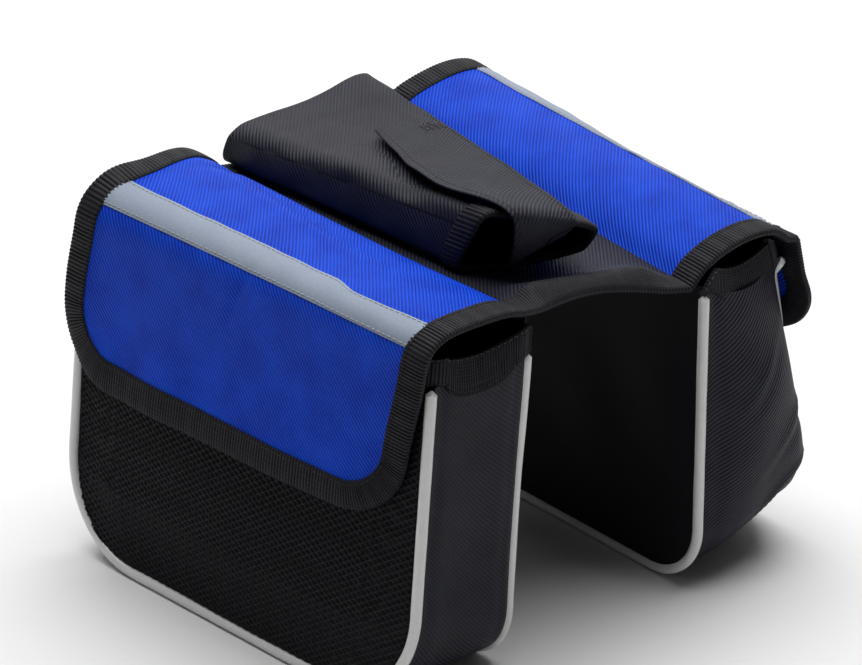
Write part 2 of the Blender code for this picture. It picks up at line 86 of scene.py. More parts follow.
STRIP_PLACE = {"left": (0.0592, 0.0500), "right": (0.0475, 0.0590)}
BRIDGE_SAG = 0.002
BRIDGE_WAIST = 0.008
BRIDGE_SWELL = 0.0055
BRIDGE_SWELL_START = 0.066
BRIDGE_SWELL_RUN = 0.018
POCKET_FAR_X = -0.0935
POCKET_NEAR_X = 0.068
POCKET_MOUTH_SKEW = 0.010
POCKET_FAR_SKEW = 0.006
POCKET_LEFT = (-0.030, -0.036)
POCKET_RIGHT = (0.050, 0.0165)
POCKET_BOW = 0.003
POCKET_HEIGHT = (0.014, 0.024)
POCKET_HEM_WIDTH = 0.012
POCKET_SOFTNESS = 0.0022
STRAP_THICKNESS = 0.0014
STRAP_WIDTH = 0.032
STRAP_EDGE_LIFT = 0.0015
STRAP_RIGHT_DROP = 0.33

# How far the part's own centre lies from the frame's origin
SHIFT = np.array((-0.00341, -0.003833, 0.000203))

# Flap folds from the bridge seam down to the hem: depth as a share of the mouth depth and rise
# above the mouth as a share of the height, at the far end, then at the near end
FLAP_FOLDS = {
    "left": (
        (-0.34, 0.020, 0.10, 0.045),
        (-0.10, 0.095, 0.27, 0.060),
        (0.22, 0.128, 0.45, 0.068),
        (0.65, 0.126, 0.70, 0.072),
        (1.00, 0.104, 0.96, 0.064),
        (1.17, 0.050, 1.11, 0.020),
        (1.18, -0.060, 1.13, -0.100),
        (1.18, -0.250, 1.16, -0.260),
        (1.18, -0.460, 1.18, -0.462),
    ),
    "right": (
        (-0.04, 0.072, -0.10, -0.055),
        (0.17, 0.116, 0.05, -0.007),
        (0.50, 0.146, 0.28, 0.028),
        (0.80, 0.154, 0.56, 0.042),
        (1.04, 0.137, 0.83, 0.030),
        (1.16, 0.086, 1.00, -0.012),
        (1.19, -0.050, 1.14, -0.088),
        (1.24, -0.224, 1.31, -0.215),
        (1.32, -0.418, 1.45, -0.362),
    ),
}

# Dents of each flap: height, place along the bag and down the flap, size, and turn in degrees
FLAP_DENTS = {
    "left": (
        (-0.0012, (-0.004, 0.020), (0.055, 0.0030), 3),
        (0.0007, (-0.004, 0.0265), (0.055, 0.0035), 3),
        (0.0028, (-0.097, 0.054), (0.011, 0.011), 0),
        (-0.0012, (-0.070, 0.014), (0.004, 0.016), 20),
        (-0.0010, (-0.002, 0.072), (0.003, 0.012), 12),
    ),
    "right": (),
}

# Section of the pocket: place across the width and share of the height
POCKET_SECTION = (
    (0.000, 0.35), (0.005, 0.80), (0.060, 1.00), (0.300, 1.04), (0.600, 1.02),
    (0.850, 0.97), (0.985, 0.80), (1.000, 0.35), (0.985, 0.00), (0.700, 0.00),
    (0.350, 0.00), (0.015, 0.00),
)

# Closure strap: distance past the pocket's mouth, left edge y, right edge y, height above it
STRAP_PATH = (
    (-0.110, 0.004, 0.036, 0.0000),
    (-0.080, -0.011, 0.030, 0.0002),
    (-0.050, -0.026, 0.022, 0.0009),
    (-0.024, -0.0315, 0.012, 0.0018),
    (-0.006, -0.030, 0.006, 0.0020),
    (0.0012, -0.0295, 0.0040, 0.0010),
    (0.0040, -0.0285, 0.0030, -0.0025),
    (0.0030, -0.0275, 0.0020, -0.0110),
    (-0.0005, -0.0265, 0.0020, -0.0215),
)

# Folded near corner of the right pouch, and the pocket's mouth, in metres
CORNER_LIFT = 0.011
CORNER_BACK = 0.007
SEAM_BACK = 0.0032
SEAM_RISE = 0.0035
POCKET_FOOT = 0.005
MOUTH_UNDERCUT = 0.009
MOUTH_FLOOR_RISE = 0.005

# Finer looks, in metres
RIB_PITCH = 0.0015
HEM_RIB_PITCH = 0.0012
RIB_HEIGHT = 0.00022
RIB_STEP = 0.00036
NET_WIDTH = 0.0042
NET_HEIGHT = 0.0027
NET_RELIEF = 0.0006
STITCH_PITCH = 0.0030
STITCH_LENGTH = 0.0022
THREAD_RADIUS = 0.00016


def mix(start, end, share):
    return start + (end - start) * share


def ease(value):
    """Goes smoothly from 0 to 1."""
    value = np.clip(value, 0.0, 1.0)
    return value * value * (3 - 2 * value)


def hump(share):
    """0 at both ends and 1 in the middle."""
    return np.sin(np.pi * np.clip(share, 0.0, 1.0))


def spot(u, v, at, size, turn=0):
    """A soft round or long spot: 1 at its centre, falling to 0 over its size."""
    c, s = math.cos(math.radians(turn)), math.sin(math.radians(turn))
    du, dv = u - at[0], v - at[1]
    along, across = (du * c + dv * s) / size[0], (dv * c - du * s) / size[1]
    return np.exp(-(along ** 2 + across ** 2))


def ripple(u, v, seed, wavelength):
    """Soft, uneven waves from about -1 to 1."""
    rng = np.random.default_rng(seed)
    count, total = 5, 0.0
    for _ in range(count):
        angle = rng.uniform(0, math.tau)
        length = wavelength * rng.uniform(0.6, 1.7)
        phase = rng.uniform(0, math.tau)
        total = total + np.sin(math.tau * (u * math.cos(angle) + v * math.sin(angle)) / length + phase)
    return total / count ** 0.5 / 1.2


# Pouch shape, as in the part

def depth_at(side, z):
    up = z / BAG_HEIGHT
    return mix(BASE_DEPTH[side], MOUTH_DEPTH, up) + BELLY[side] * hump(up)


def near_x(side, share, z):
    extra = mix(NEAR_EXTRA_BASE[side], NEAR_EXTRA_MOUTH[side], z / BAG_HEIGHT)
    setback = mix(NEAR_SETBACK_BASE[side], NEAR_SETBACK_MOUTH[side], z / BAG_HEIGHT)
    return PANEL_LENGTH / 2 + extra - share * setback


def far_x(side, share, z):
    setback = mix(FAR_SETBACK_BASE[side], FAR_SETBACK_MOUTH[side], z / BAG_HEIGHT)
    return -PANEL_LENGTH / 2 + share * setback


def fold_corner(x, share, z):
    """The right pouch's lower near corner is folded up, and its outer seam lies back."""
    near = ease((x - 0.010) / 0.070)
    low = 1 - ease(z / 0.060)
    lift = CORNER_LIFT * near * ease((share - 0.15) / 0.75) * low
    back = CORNER_BACK * near * ease((share - 0.86) / 0.14) * (1 - ease((z - 0.118) / 0.012))
    return x - back, z + lift


def place(side, x, depth, z, folds=True):
    """Carries points of an upright pouch to where the splayed, toed-in pouch has them."""
    x, depth, z = np.broadcast_arrays(x, depth, z)
    share = depth / depth_at(side, z)
    if folds and side == "right":
        x, z = fold_corner(x, share, z)
    elif folds:
        near = ease((x - 0.060) / 0.030) * (1 - 0.5 * ease((z - 0.070) / 0.055)) * ease(z / 0.030)
        x = x - SEAM_BACK * near * ease((0.10 - share) / 0.10)
    splay = (BAG_HEIGHT - z) * math.tan(SPLAY[side])
    y = SIGN[side] * (CHANNEL_WIDTH / 2 + depth + splay)
    turn = -SIGN[side] * TOE_IN
    return np.stack((
        x * math.cos(turn) - y * math.sin(turn),
        x * math.sin(turn) + y * math.cos(turn),
        PIPING_RADIUS + (z - PIPING_RADIUS) * SLUMP[side],
    ), axis=-1)


def bulge(x, z):
    """How far the outer panel swells at a point."""
    along = np.minimum(1.0, np.abs(x) / (PANEL_LENGTH / 2))
    up = z / (BAG_HEIGHT - HEM_WIDTH)
    return np.where((up > 0) & (up < 1), OUTER_BULGE * (1 - along ** 3) * hump(up), 0.0)


def smooth_line(points, steps):
    """Points along a smooth line through the given ones."""
    points = np.asarray(points, float)
    ends = np.vstack((points[0] * 2 - points[1], points, points[-1] * 2 - points[-2]))
    s = (np.arange(steps) / steps)[:, None]
    line = []
    for before, start, end, after in zip(ends, ends[1:], ends[2:], ends[3:]):
        line.append(0.5 * (
            2 * start + (end - before) * s
            + (2 * before - 5 * start + 4 * end - after) * s ** 2
            + (3 * start - before - 3 * end + after) * s ** 3
        ))
    return np.vstack(line + [points[-1:]])


def distances(line):
    """Length along a line of points at each point."""
    return np.concatenate(([0.0], np.cumsum(np.linalg.norm(np.diff(line, axis=0), axis=1))))


FLAP_HALF = PANEL_LENGTH / 2 + FLAP_OVERHANG
BAND_REST = PIPING_RADIUS + BINDING_THICKNESS / 2 + GAP + FACET_ROOM


def fold_line(side, end, steps):
    rows = np.array(FLAP_FOLDS[side])
    return smooth_line(
        np.column_stack((rows[:, end] * MOUTH_DEPTH, BAG_HEIGHT * (1 + rows[:, end + 1]))), steps)


def line_length(line):
    return np.linalg.norm(np.diff(line, axis=0), axis=1).sum()


FLAP_REACH = {
    side: (line_length(fold_line(side, 0, 5)) + line_length(fold_line(side, 2, 5))) / 2
    for side in SIDES
}


def grid_normals(points):
    """Unit normals of a grid of points: rows cross columns."""
    normal = np.cross(np.gradient(points, axis=0), np.gradient(points, axis=1))
    return normal / np.maximum(np.linalg.norm(normal, axis=-1, keepdims=True), 1e-12)


def soften(values, width, axis):
    """A running mean along one axis that leaves both ends where they are."""
    values = np.moveaxis(values, axis, 0)
    padded = np.concatenate((
        2 * values[:1] - values[width:0:-1], values, 2 * values[-1:] - values[-2:-width - 2:-1],
    ))
    total = np.cumsum(np.concatenate((np.zeros_like(padded[:1]), padded)), axis=0)
    span = 2 * width + 1
    out = (total[span:] - total[:-span]) / span
    return np.moveaxis(out, 0, axis)


class Surface:
    """A cloth surface as a table of points over two flat coordinates."""

    def __init__(self, points, u_line, v_line, sign):
        self.points, self.u, self.v = points, u_line, v_line
        self.normals = grid_normals(points) * sign

    def look(self, table, u, v):
        fu = (u - self.u[0]) / (self.u[1] - self.u[0])
        fv = (v - self.v[0]) / (self.v[1] - self.v[0])
        i = np.clip(np.floor(fu).astype(int), 0, len(self.u) - 2)
        j = np.clip(np.floor(fv).astype(int), 0, len(self.v) - 2)
        a, b = (fu - i)[..., None], (fv - j)[..., None]
        low = table[i, j] * (1 - b) + table[i, j + 1] * b
        high = table[i + 1, j] * (1 - b) + table[i + 1, j + 1] * b
        return low * (1 - a) + high * a

    def at(self, u, v, height=0.0):
        u, v, height = np.broadcast_arrays(u, v, height)
        normal = self.look(self.normals, u, v)
        normal = normal / np.linalg.norm(normal, axis=-1, keepdims=True)
        return self.look(self.points, u, v) + normal * height[..., None]

    def normal(self, u, v):
        normal = self.look(self.normals, u, v)
        return normal / np.linalg.norm(normal, axis=-1, keepdims=True)


def flap_dents(side, x, reach):
    """Soft dents and creases of a flap, along its normal."""
    drop = reach / FLAP_REACH[side]
    quiet = ease(drop / 0.12)
    total = 0.0005 * ripple(x, reach, 11 + len(side), 0.060) * quiet
    hang = ease((drop - 0.62) / 0.25)
    total = total + 0.0005 * hang * ripple(x, reach * 0.25, 23 + len(side), 0.045)
    for height, at, size, turn in FLAP_DENTS[side]:
        total = total + height * spot(x, reach, at, size, turn)
    return total


def flap_sections(side, xs):
    """Depth and height of the flap's section at each place along the bag."""
    far, near = fold_line(side, 0, 20), fold_line(side, 2, 20)
    share = (xs / FLAP_HALF / 2 + 0.5)[:, None, None]
    section = far[None] + (near - far)[None] * share
    rest = depth_at(side, section[..., 1]) + bulge(xs[:, None], section[..., 1]) + BAND_REST
    low = (section[..., 1] < BAG_HEIGHT + HEM_THICKNESS) & (section[..., 0] > MOUTH_DEPTH)
    section[..., 0] = np.where(low, np.maximum(section[..., 0], rest), section[..., 0])
    return section


def flap_surface(side):
    xs = np.linspace(-FLAP_HALF, FLAP_HALF, 193)
    reach = np.linspace(0, FLAP_REACH[side], 269)
    section = flap_sections(side, xs)
    flat = np.empty((len(xs), len(reach), 2))
    for i, line in enumerate(section):
        length = distances(line)
        for k in (0, 1):
            flat[i, :, k] = np.interp(reach / FLAP_REACH[side] * length[-1], length, line[:, k])
    flat = soften(flat, 4, 1)
    drop = (reach / FLAP_REACH[side])[None]
    skew = FLAP_SKEW[side] * ease((drop - 0.3) / 0.6)
    tuck = mix(FAR_TUCK_BEND[side], FAR_TUCK_HEM[side], ease((drop - 0.45) / 0.3))
    tuck = tuck * ease(drop / 0.35) * (0.5 - xs[:, None] / FLAP_HALF / 2)
    points = place(side, xs[:, None] - skew + tuck, flat[..., 0], flat[..., 1], folds=False)
    plain = Surface(points, xs, reach, SIGN[side])
    dents = flap_dents(side, xs[:, None], reach[None])
    return Surface(points + plain.normals * dents[..., None], xs, reach, SIGN[side])


FLAPS = {side: flap_surface(side) for side in SIDES}


def seam(side, x):
    """The flap's edge on the bridge."""
    flap = FLAPS[side]
    return np.stack([np.interp(x, flap.u, flap.points[:, 0, k]) for k in range(3)], axis=-1)


def bridge_point(x, share):
    x, share = np.broadcast_arrays(x, share)
    x = x * (1 - BRIDGE_WAIST / FLAP_HALF * hump(share))
    left, right = seam("left", x), seam("right", x)
    point = left + (right - left) * share[..., None]
    point[..., 2] -= 4 * BRIDGE_SAG * share * (1 - share)
    return point


def bridge_height(x, y):
    left, right = seam("left", x)[..., 1], seam("right", x)[..., 1]
    return bridge_point(x, (y - left) / (right - left))[..., 2]


SECTION_LINES = np.linspace(-FLAP_HALF, FLAP_HALF, 97)
COVERS = {side: flap_sections(side, SECTION_LINES) for side in SIDES}


def cover_height(side, x, depth):
    """Height of the flap or bridge over one point of the pouch, in the pouch's own scale."""
    index = np.clip((x / FLAP_HALF / 2 + 0.5) * 96, 0, 95.999)
    i = int(index)
    section = mix(COVERS[side][i], COVERS[side][i + 1], index - i)
    if depth < section[0, 0]:
        y = place(side, x, depth, BAG_HEIGHT)[1]
        return PIPING_RADIUS + (bridge_height(x, y) - PIPING_RADIUS) / SLUMP[side]
    rising = int(np.argmax(np.diff(section[:, 0]) <= 0)) or len(section)
    return np.interp(depth, section[:rising, 0], section[:rising, 1])


def lowest_cover(side, x, depth):
    reach = (HEM_THICKNESS + BINDING_THICKNESS) / 2 + GAP
    over = min(cover_height(side, x, depth + d) for d in (-reach, 0.0, reach))
    return over - BINDING_THICKNESS / 2 - GAP - FACET_ROOM / 2


# Meshes from grids of points

def strip_faces(rows, columns, wrap_rows=False, wrap_columns=False):
    j = np.arange(rows if wrap_rows else rows - 1)[:, None]
    i = np.arange(columns if wrap_columns else columns - 1)[None]
    jn, ne = (j + 1) % rows, (i + 1) % columns
    return np.stack((j * columns + i, j * columns + ne, jn * columns + ne, jn * columns + i),
                    axis=-1).reshape(-1, 4)


def make_object(name, points, faces, finish, uv=None, extra_faces=(), smooth=45):
    points = np.asarray(points, float).reshape(-1, 3)
    mesh = bpy.data.meshes.new(name)
    mesh.from_pydata((points + SHIFT).tolist(), [], faces.tolist() + [list(f) for f in extra_faces])
    if uv is not None:
        corner = np.empty(len(mesh.loops), int)
        mesh.loops.foreach_get("vertex_index", corner)
        layer = mesh.uv_layers.new(name="UVMap")
        layer.data.foreach_set("uv", np.asarray(uv, np.float32).reshape(-1, 2)[corner].ravel())
    mesh.shade_smooth()
    mesh.set_sharp_from_angle(angle=math.radians(smooth))
    mesh.materials.append(finish)
    obj = bpy.data.objects.new(name, mesh)
    bpy.context.scene.collection.objects.link(obj)
    return obj


def pairs(first, second):
    """Flat coordinates over a grid."""
    return np.stack(np.broadcast_arrays(first, second), axis=-1)


def outward(side):
    """The order of columns that turns a pouch's faces outwards."""
    return slice(None, None, int(-SIGN[side]))


def grid_piece(name, points, finish, uv, wrap_rows=False, wrap_columns=False, caps=False, smooth=45):
    """A skin over a grid of points; caps close the first and last row of a wrapped skin."""
    rows, columns = points.shape[:2]
    faces = strip_faces(rows, columns, wrap_rows, wrap_columns)
    ends = []
    if caps:
        last = (rows - 1) * columns
        ends = [range(columns - 1, -1, -1), range(last, last + columns)]
    return make_object(name, points, faces, finish, uv, ends, smooth)


def slab_piece(name, points, normals, thickness, finish, uv):
    """A sheet with two sides and a closed rim."""
    rows, columns = points.shape[:2]
    half = (np.broadcast_to(thickness, (rows, columns)) / 2)[..., None]
    top = strip_faces(rows, columns)
    count = rows * columns
    rim = np.concatenate((
        np.arange(columns - 1), np.arange(rows - 1) * columns + columns - 1,
        (rows - 1) * columns + np.arange(columns - 1, 0, -1), np.arange(rows - 1, 0, -1) * columns,
    ))
    after = np.roll(rim, -1)
    sides = np.stack((rim + count, after + count, after, rim), axis=-1)
    faces = np.vstack((top, top[:, ::-1] + count, sides))
    both = np.concatenate((points + normals * half, points - normals * half))
    return make_object(name, both, faces, finish, np.concatenate((uv, uv)))


def finish_piece(obj, slot, *nodes):
    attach(obj, "root")
    if nodes:
        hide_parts(*nodes)
    return obj


def stitches(name, runs, finish, slot, pitch=STITCH_PITCH, length=STITCH_LENGTH, radius=THREAD_RADIUS):
    """Rows of small raised stitches. Each run is a line of points and its normals."""
    ring = np.arange(6) / 6 * math.tau
    along = np.array((-0.5, -0.36, 0.36, 0.5))
    wide = np.array((0.35, 1.0, 1.0, 0.35))
    rise = np.array((-0.5, 0.35, 0.35, -0.5))
    stitch = strip_faces(4, 6, wrap_columns=True)
    points, faces = [], []
    for line, normals in runs:
        length_at = distances(line)
        count = int(length_at[-1] / pitch)
        at = (np.arange(count) + 0.5) * length_at[-1] / max(count, 1)
        centre = np.stack([np.interp(at, length_at, line[:, k]) for k in range(3)], axis=-1)
        ahead = np.stack([np.interp(at + length / 4, length_at, line[:, k]) for k in range(3)], axis=-1)
        tangent = ahead - centre
        tangent /= np.maximum(np.linalg.norm(tangent, axis=1, keepdims=True), 1e-9)
        up = np.stack([np.interp(at, length_at, normals[:, k]) for k in range(3)], axis=-1)
        up /= np.linalg.norm(up, axis=1, keepdims=True)
        side = np.cross(tangent, up)
        for c, t, u, s in zip(centre, tangent, up, side):
            shape = (c + along[:, None, None] * length * t + rise[:, None, None] * radius * u
                     + wide[:, None, None] * radius * (np.cos(ring)[None, :, None] * s
                                                       + np.sin(ring)[None, :, None] * u))
            base = 24 * len(points)
            points.append(shape.reshape(-1, 3))
            faces.append(stitch + base)
    obj = make_object(name, np.concatenate(points), np.vstack(faces), finish)
    return finish_piece(obj, slot)


# Finishes, all procedural

def add_node(tree, kind, **settings):
    node = tree.nodes.new(kind)
    for key, value in settings.items():
        setattr(node, key, value)
    return node


def maths(tree, operation, first, second=None):
    node = add_node(tree, "ShaderNodeMath", operation=operation)
    for socket, value in zip(node.inputs, (first, second)):
        if value is None:
            continue
        if isinstance(value, (int, float)):
            socket.default_value = value
        else:
            tree.links.new(value, socket)
    return node.outputs[0]


def wave(tree, vector, direction, pitch):
    """Cosine waves, from -1 to 1, across a flat direction."""
    dot = add_node(tree, "ShaderNodeVectorMath", operation="DOT_PRODUCT")
    size = math.hypot(*direction)
    dot.inputs[1].default_value = (
        direction[0] / size * math.tau / pitch, direction[1] / size * math.tau / pitch, 0.0)
    tree.links.new(vector, dot.inputs[0])
    return maths(tree, "COSINE", dot.outputs["Value"])


def noise(tree, vector, scale):
    node = add_node(tree, "ShaderNodeTexNoise")
    node.inputs["Scale"].default_value = scale
    node.inputs["Detail"].default_value = 3.0
    tree.links.new(vector, node.inputs["Vector"])
    return node.outputs["Fac"]


def paint(tree, share, first, second):
    """Colours the cloth from the first colour to the second."""
    node = add_node(tree, "ShaderNodeMix", data_type="RGBA")
    tree.links.new(share, node.inputs["Factor"])
    for socket in node.inputs:
        if socket.type == "RGBA":
            socket.default_value = (*(first if socket.name == "A" else second), 1.0)
    colour = [s for s in node.outputs if s.type == "RGBA"][0]
    tree.links.new(colour, tree.nodes["Principled BSDF"].inputs["Base Color"])


def base_material(name, colour, roughness, specular, coat=0.0):
    made = bpy.data.materials.new(name)
    made.use_nodes = True
    shader = made.node_tree.nodes["Principled BSDF"]
    shader.inputs["Base Color"].default_value = (*colour, 1.0)
    shader.inputs["Roughness"].default_value = roughness
    shader.inputs["Specular IOR Level"].default_value = specular
    shader.inputs["Coat Weight"].default_value = coat
    shader.inputs["Coat Roughness"].default_value = 0.15
    made.diffuse_color = (*colour, 1.0)
    return made


def add_bump(tree, height, strength, distance):
    bump = add_node(tree, "ShaderNodeBump")
    bump.inputs["Strength"].default_value = strength
    bump.inputs["Distance"].default_value = distance
    tree.links.new(height, bump.inputs["Height"])
    tree.links.new(bump.outputs["Normal"], tree.nodes["Principled BSDF"].inputs["Normal"])


def flat_coordinates(tree):
    return add_node(tree, "ShaderNodeTexCoord").outputs["UV"]


def woven(name, light, dark, roughness, specular, twill, relief):
    """Twill cloth: diagonal ribs crossed by a finer thread, with slightly uneven dye and painted shade:
    darker in the grooves where the rib height is low.
    """
    made = base_material(name, light, roughness, specular)
    tree = made.node_tree
    flat = flat_coordinates(tree)
    ribs = wave(tree, flat, (1.0, 1.1), twill)
    threads = wave(tree, flat, (1.0, -1.1), twill * 0.52)
    height = maths(tree, "ADD", maths(tree, "MULTIPLY", ribs, 0.40),
                   maths(tree, "MULTIPLY", threads, 0.08))
    height = maths(tree, "ADD", height, 0.5)
    uneven = maths(tree, "MULTIPLY", noise(tree, flat, 55.0), 0.9)
    share = maths(tree, "SUBTRACT", maths(tree, "ADD", height, uneven), 0.45)
    share = maths(tree, "MINIMUM", maths(tree, "MAXIMUM", share, 0.0), 1.0)
    # Painted shade: the colour follows the rib height, dark in the grooves and light on the ribs, plus random
    # uneven dye.
    paint(tree, share, dark, light)
    add_bump(tree, height, 1.0, relief)
    return made


def net_finish():
    """Open mesh: grey strands over a dark ground, from the same pattern as the relief; the holes are the
    black cloth behind, painted darker as shade.
    """
    made = base_material("Mesh cloth", (0.014, 0.014, 0.018), 0.60, 0.12)
    tree = made.node_tree
    flat = flat_coordinates(tree)
    low = 1.0
    for sign in (1.0, -1.0):
        dot = add_node(tree, "ShaderNodeVectorMath", operation="DOT_PRODUCT")
        dot.inputs[1].default_value = (math.pi / NET_WIDTH, sign * math.pi / NET_HEIGHT, 0.0)
        tree.links.new(flat, dot.inputs[0])
        crossing = maths(tree, "ABSOLUTE", maths(tree, "COSINE", dot.outputs["Value"]))
        low = maths(tree, "MINIMUM", crossing, low)
    strand = maths(tree, "SUBTRACT", 1.0, maths(tree, "MULTIPLY", low, 2.2))
    strand = maths(tree, "MAXIMUM", strand, 0.0)
    # Painted shade: the holes are much darker than the black cloth, as shade in them, and the strands are
    # lighter.
    paint(tree, strand, (0.0012, 0.0012, 0.0018), (0.019, 0.019, 0.026))
    fine = wave(tree, flat, (1.0, 1.3), 0.0006)
    add_bump(tree, fine, 0.5, 0.00004)
    return made


def tape_finish():
    """Ribbed tape: the ribs are in the shape, and a fine thread crosses them. Its colour is painted shade,
    dark between the ribs and light on their crests, with random tone.
    """
    made = base_material("Ribbed tape", (0.012, 0.012, 0.014), 0.55, 0.14)
    tree = made.node_tree
    flat = flat_coordinates(tree)
    ribs = wave(tree, flat, (1.0, 0.0), RIB_PITCH)
    share = maths(tree, "ADD", maths(tree, "MULTIPLY", ribs, 0.5), 0.5)
    share = maths(tree, "MULTIPLY", share, maths(tree, "ADD", noise(tree, flat, 240.0), 0.4))
    # Painted shade: dark in the valleys between the ribs, light on the crests, times a random tone.
    paint(tree, share, (0.003, 0.003, 0.0038), (0.027, 0.027, 0.034))
    add_bump(tree, wave(tree, flat, (0.0, 1.0), 0.0007), 0.6, 0.00006)
    return made


def speckled(name, light, dark, roughness, specular, scale, coat=0.0):
    made = base_material(name, light, roughness, specular, coat)
    tree = made.node_tree
    grain = noise(tree, flat_coordinates(tree), scale)
    paint(tree, grain, dark, light)
    add_bump(tree, grain, 0.4, 0.00003)
    return made


# The second colour of each woven cloth is its painted shade in the grooves between the ribs.
BLUE = woven("Blue cloth", (0.007, 0.085, 0.74), (0.0015, 0.018, 0.32), 0.55, 0.09, 0.0014, 0.00026)
BLACK = woven("Black cloth", (0.022, 0.023, 0.037), (0.0030, 0.0033, 0.007), 0.52, 0.17, 0.0014, 0.00026)
# A darker, duller copy of the black cloth: painted shade for the inner panels between the pouches.
SHADED_BLACK_CLOTH = woven("Black cloth with painted shade", (0.008, 0.008, 0.011), (0.005, 0.005, 0.007), 0.70, 0.12, 0.0009, 0.00004)
NET = net_finish()
TAPE = tape_finish()
WHITE = speckled("White piping", (0.80, 0.80, 0.79), (0.70, 0.70, 0.69), 0.35, 0.5, 300.0, 0.3)
SILVER = speckled("Reflective tape", (0.29, 0.335, 0.42), (0.21, 0.25, 0.32), 0.50, 0.3, 900.0)
THREAD = speckled("Black thread", (0.020, 0.020, 0.022), (0.010, 0.010, 0.011), 0.6, 0.4, 900.0)
BEAD = speckled("Edge thread", (0.060, 0.060, 0.064), (0.040, 0.040, 0.044), 0.6, 0.4, 900.0)
GREY_THREAD = speckled("Grey thread", (0.50, 0.53, 0.55), (0.34, 0.37, 0.40), 0.6, 0.4, 900.0)


# Flap pieces

def u_path(half, reach, radius, step):
    """Down the near side, along the hem and up the far side, with inward directions."""
    straight, base, arc = reach - radius, 2 * (half - radius), math.pi / 2 * radius
    total = 2 * straight + base + 2 * arc
    s = np.linspace(0, total, int(total / step) + 1)
    near, far = (s - straight) / radius, (s - straight - arc - base) / radius
    parts = (s < straight, s < straight + arc, s < straight + arc + base,
             s < straight + 2 * arc + base, s >= 0)
    x = np.select(parts, (0 * s + half, half - radius + radius * np.cos(near),
                          half - radius - (s - straight - arc), -half + radius - radius * np.sin(far),
                          0 * s - half))
    r = np.select(parts, (s, straight + radius * np.sin(near), 0 * s + reach,
                          straight + radius * np.cos(far), straight - (s - total + straight)))
    nx = np.select(parts, (0 * s - 1.0, -np.cos(near), 0 * s, np.sin(far), 0 * s + 1.0))
    nr = np.select(parts, (0 * s, -np.sin(near), 0 * s - 1.0, -np.cos(far), 0 * s))
    return s, np.column_stack((x, r)), np.column_stack((nx, nr))


def u_fill(half, reach, radius, columns, rows):
    """Flat points that fill the U, rows from the seam down to the hem."""
    v = np.linspace(0, 1, rows + 1)[:, None]
    u = np.linspace(-1, 1, columns + 1)[None]
    r = v * reach
    over = np.clip((r - (reach - radius)) / radius, 0, 1)
    width = half - radius * (1 - np.sqrt(np.maximum(0.0, 1 - over ** 2)))
    width = np.where(v >= 1, half - radius, width)
    return u * width, np.broadcast_to(r, (rows + 1, columns + 1))


def bound_profile(width, thickness):
    """Closed section of a tape folded over an edge: inset, height and how much it is ribbed."""
    h, nose = thickness / 2, 0.0012
    return np.array((
        (width, -0.35 * h, 0.0), (width, -0.80 * h, 0.3), (width - 0.0006, -0.92 * h, 1.0),
        (width * 0.5, -h, 1.0), (nose, -h, 1.0), (nose * 0.30, -0.70 * h, 1.0), (0.0, 0.0, 1.0),
        (nose * 0.30, 0.70 * h, 1.0), (nose, h, 1.0), (width * 0.35, h * 1.05, 1.0),
        (width * 0.70, h, 1.0), (width - 0.0018, 0.82 * h, 1.0), (width - 0.0012, 0.92 * h, 1.0),
        (width - 0.0004, 0.86 * h, 1.0), (width, 0.60 * h, 0.3), (width, 0.35 * h, 0.0),
    ))


def rib_wave(s, pitch=RIB_PITCH):
    return RIB_HEIGHT * (np.abs(np.cos(np.pi * s / pitch)) * 2 - 1)


def make_flap(side):
    surface, reach = FLAPS[side], FLAP_REACH[side]
    inset = BINDING_WIDTH - SEW_LAP
    x, r = u_fill(FLAP_HALF - inset, reach - inset, FLAP_CORNER_RADIUS - inset, 150, 96)
    points, normals = surface.at(x, r), surface.normal(x, r)
    uv, order = pairs(x, SIGN[side] * r), outward(side)
    flap = slab_piece(f"{side}_flap_cloth", points[:, order], normals[:, order], 0.0010, BLUE, uv[:, order])
    finish_piece(flap, "blue_cloth", f"{side}_flap")
    profile = bound_profile(BINDING_WIDTH, BINDING_THICKNESS)
    s, path, inward = u_path(FLAP_HALF, reach, FLAP_CORNER_RADIUS, RIB_STEP)
    flat = path[:, None] + inward[:, None] * profile[None, :, 0, None]
    height = profile[None, :, 1] + np.sign(profile[None, :, 1]) * rib_wave(s)[:, None] * profile[None, :, 2]
    points = surface.at(flat[..., 0], flat[..., 1], height)
    uv = pairs(s[:, None], np.cumsum(np.full(len(profile), 0.0015))[None])
    binding = finish_piece(grid_piece(f"{side}_flap_tape", points, TAPE, uv, wrap_columns=True, caps=True),
                           "ribbed_tape", f"{side}_flap_binding")
    line = path + inward * (BINDING_WIDTH - 0.0017)
    run = (surface.at(line[:, 0], line[:, 1], 0.0012), surface.normal(line[:, 0], line[:, 1]))
    sewn = stitches(f"{side}_flap_stitches", [run], THREAD, "ribbed_tape")
    return flap, [binding, sewn, make_strip(side)]


def strip_wave(side, x):
    """How far the strip's upper edge wanders from a straight line."""
    if side == "left":
        kink = ease((x - 0.034) / 0.014)
        wide = ease((x + 0.050) / 0.060) * (1 - kink)
        return 0.0016 * kink * (1 - ease((x - 0.055) / 0.030)) - 0.0011 * wide
    return 0.0007 * np.sin(x / 0.014 + 1)


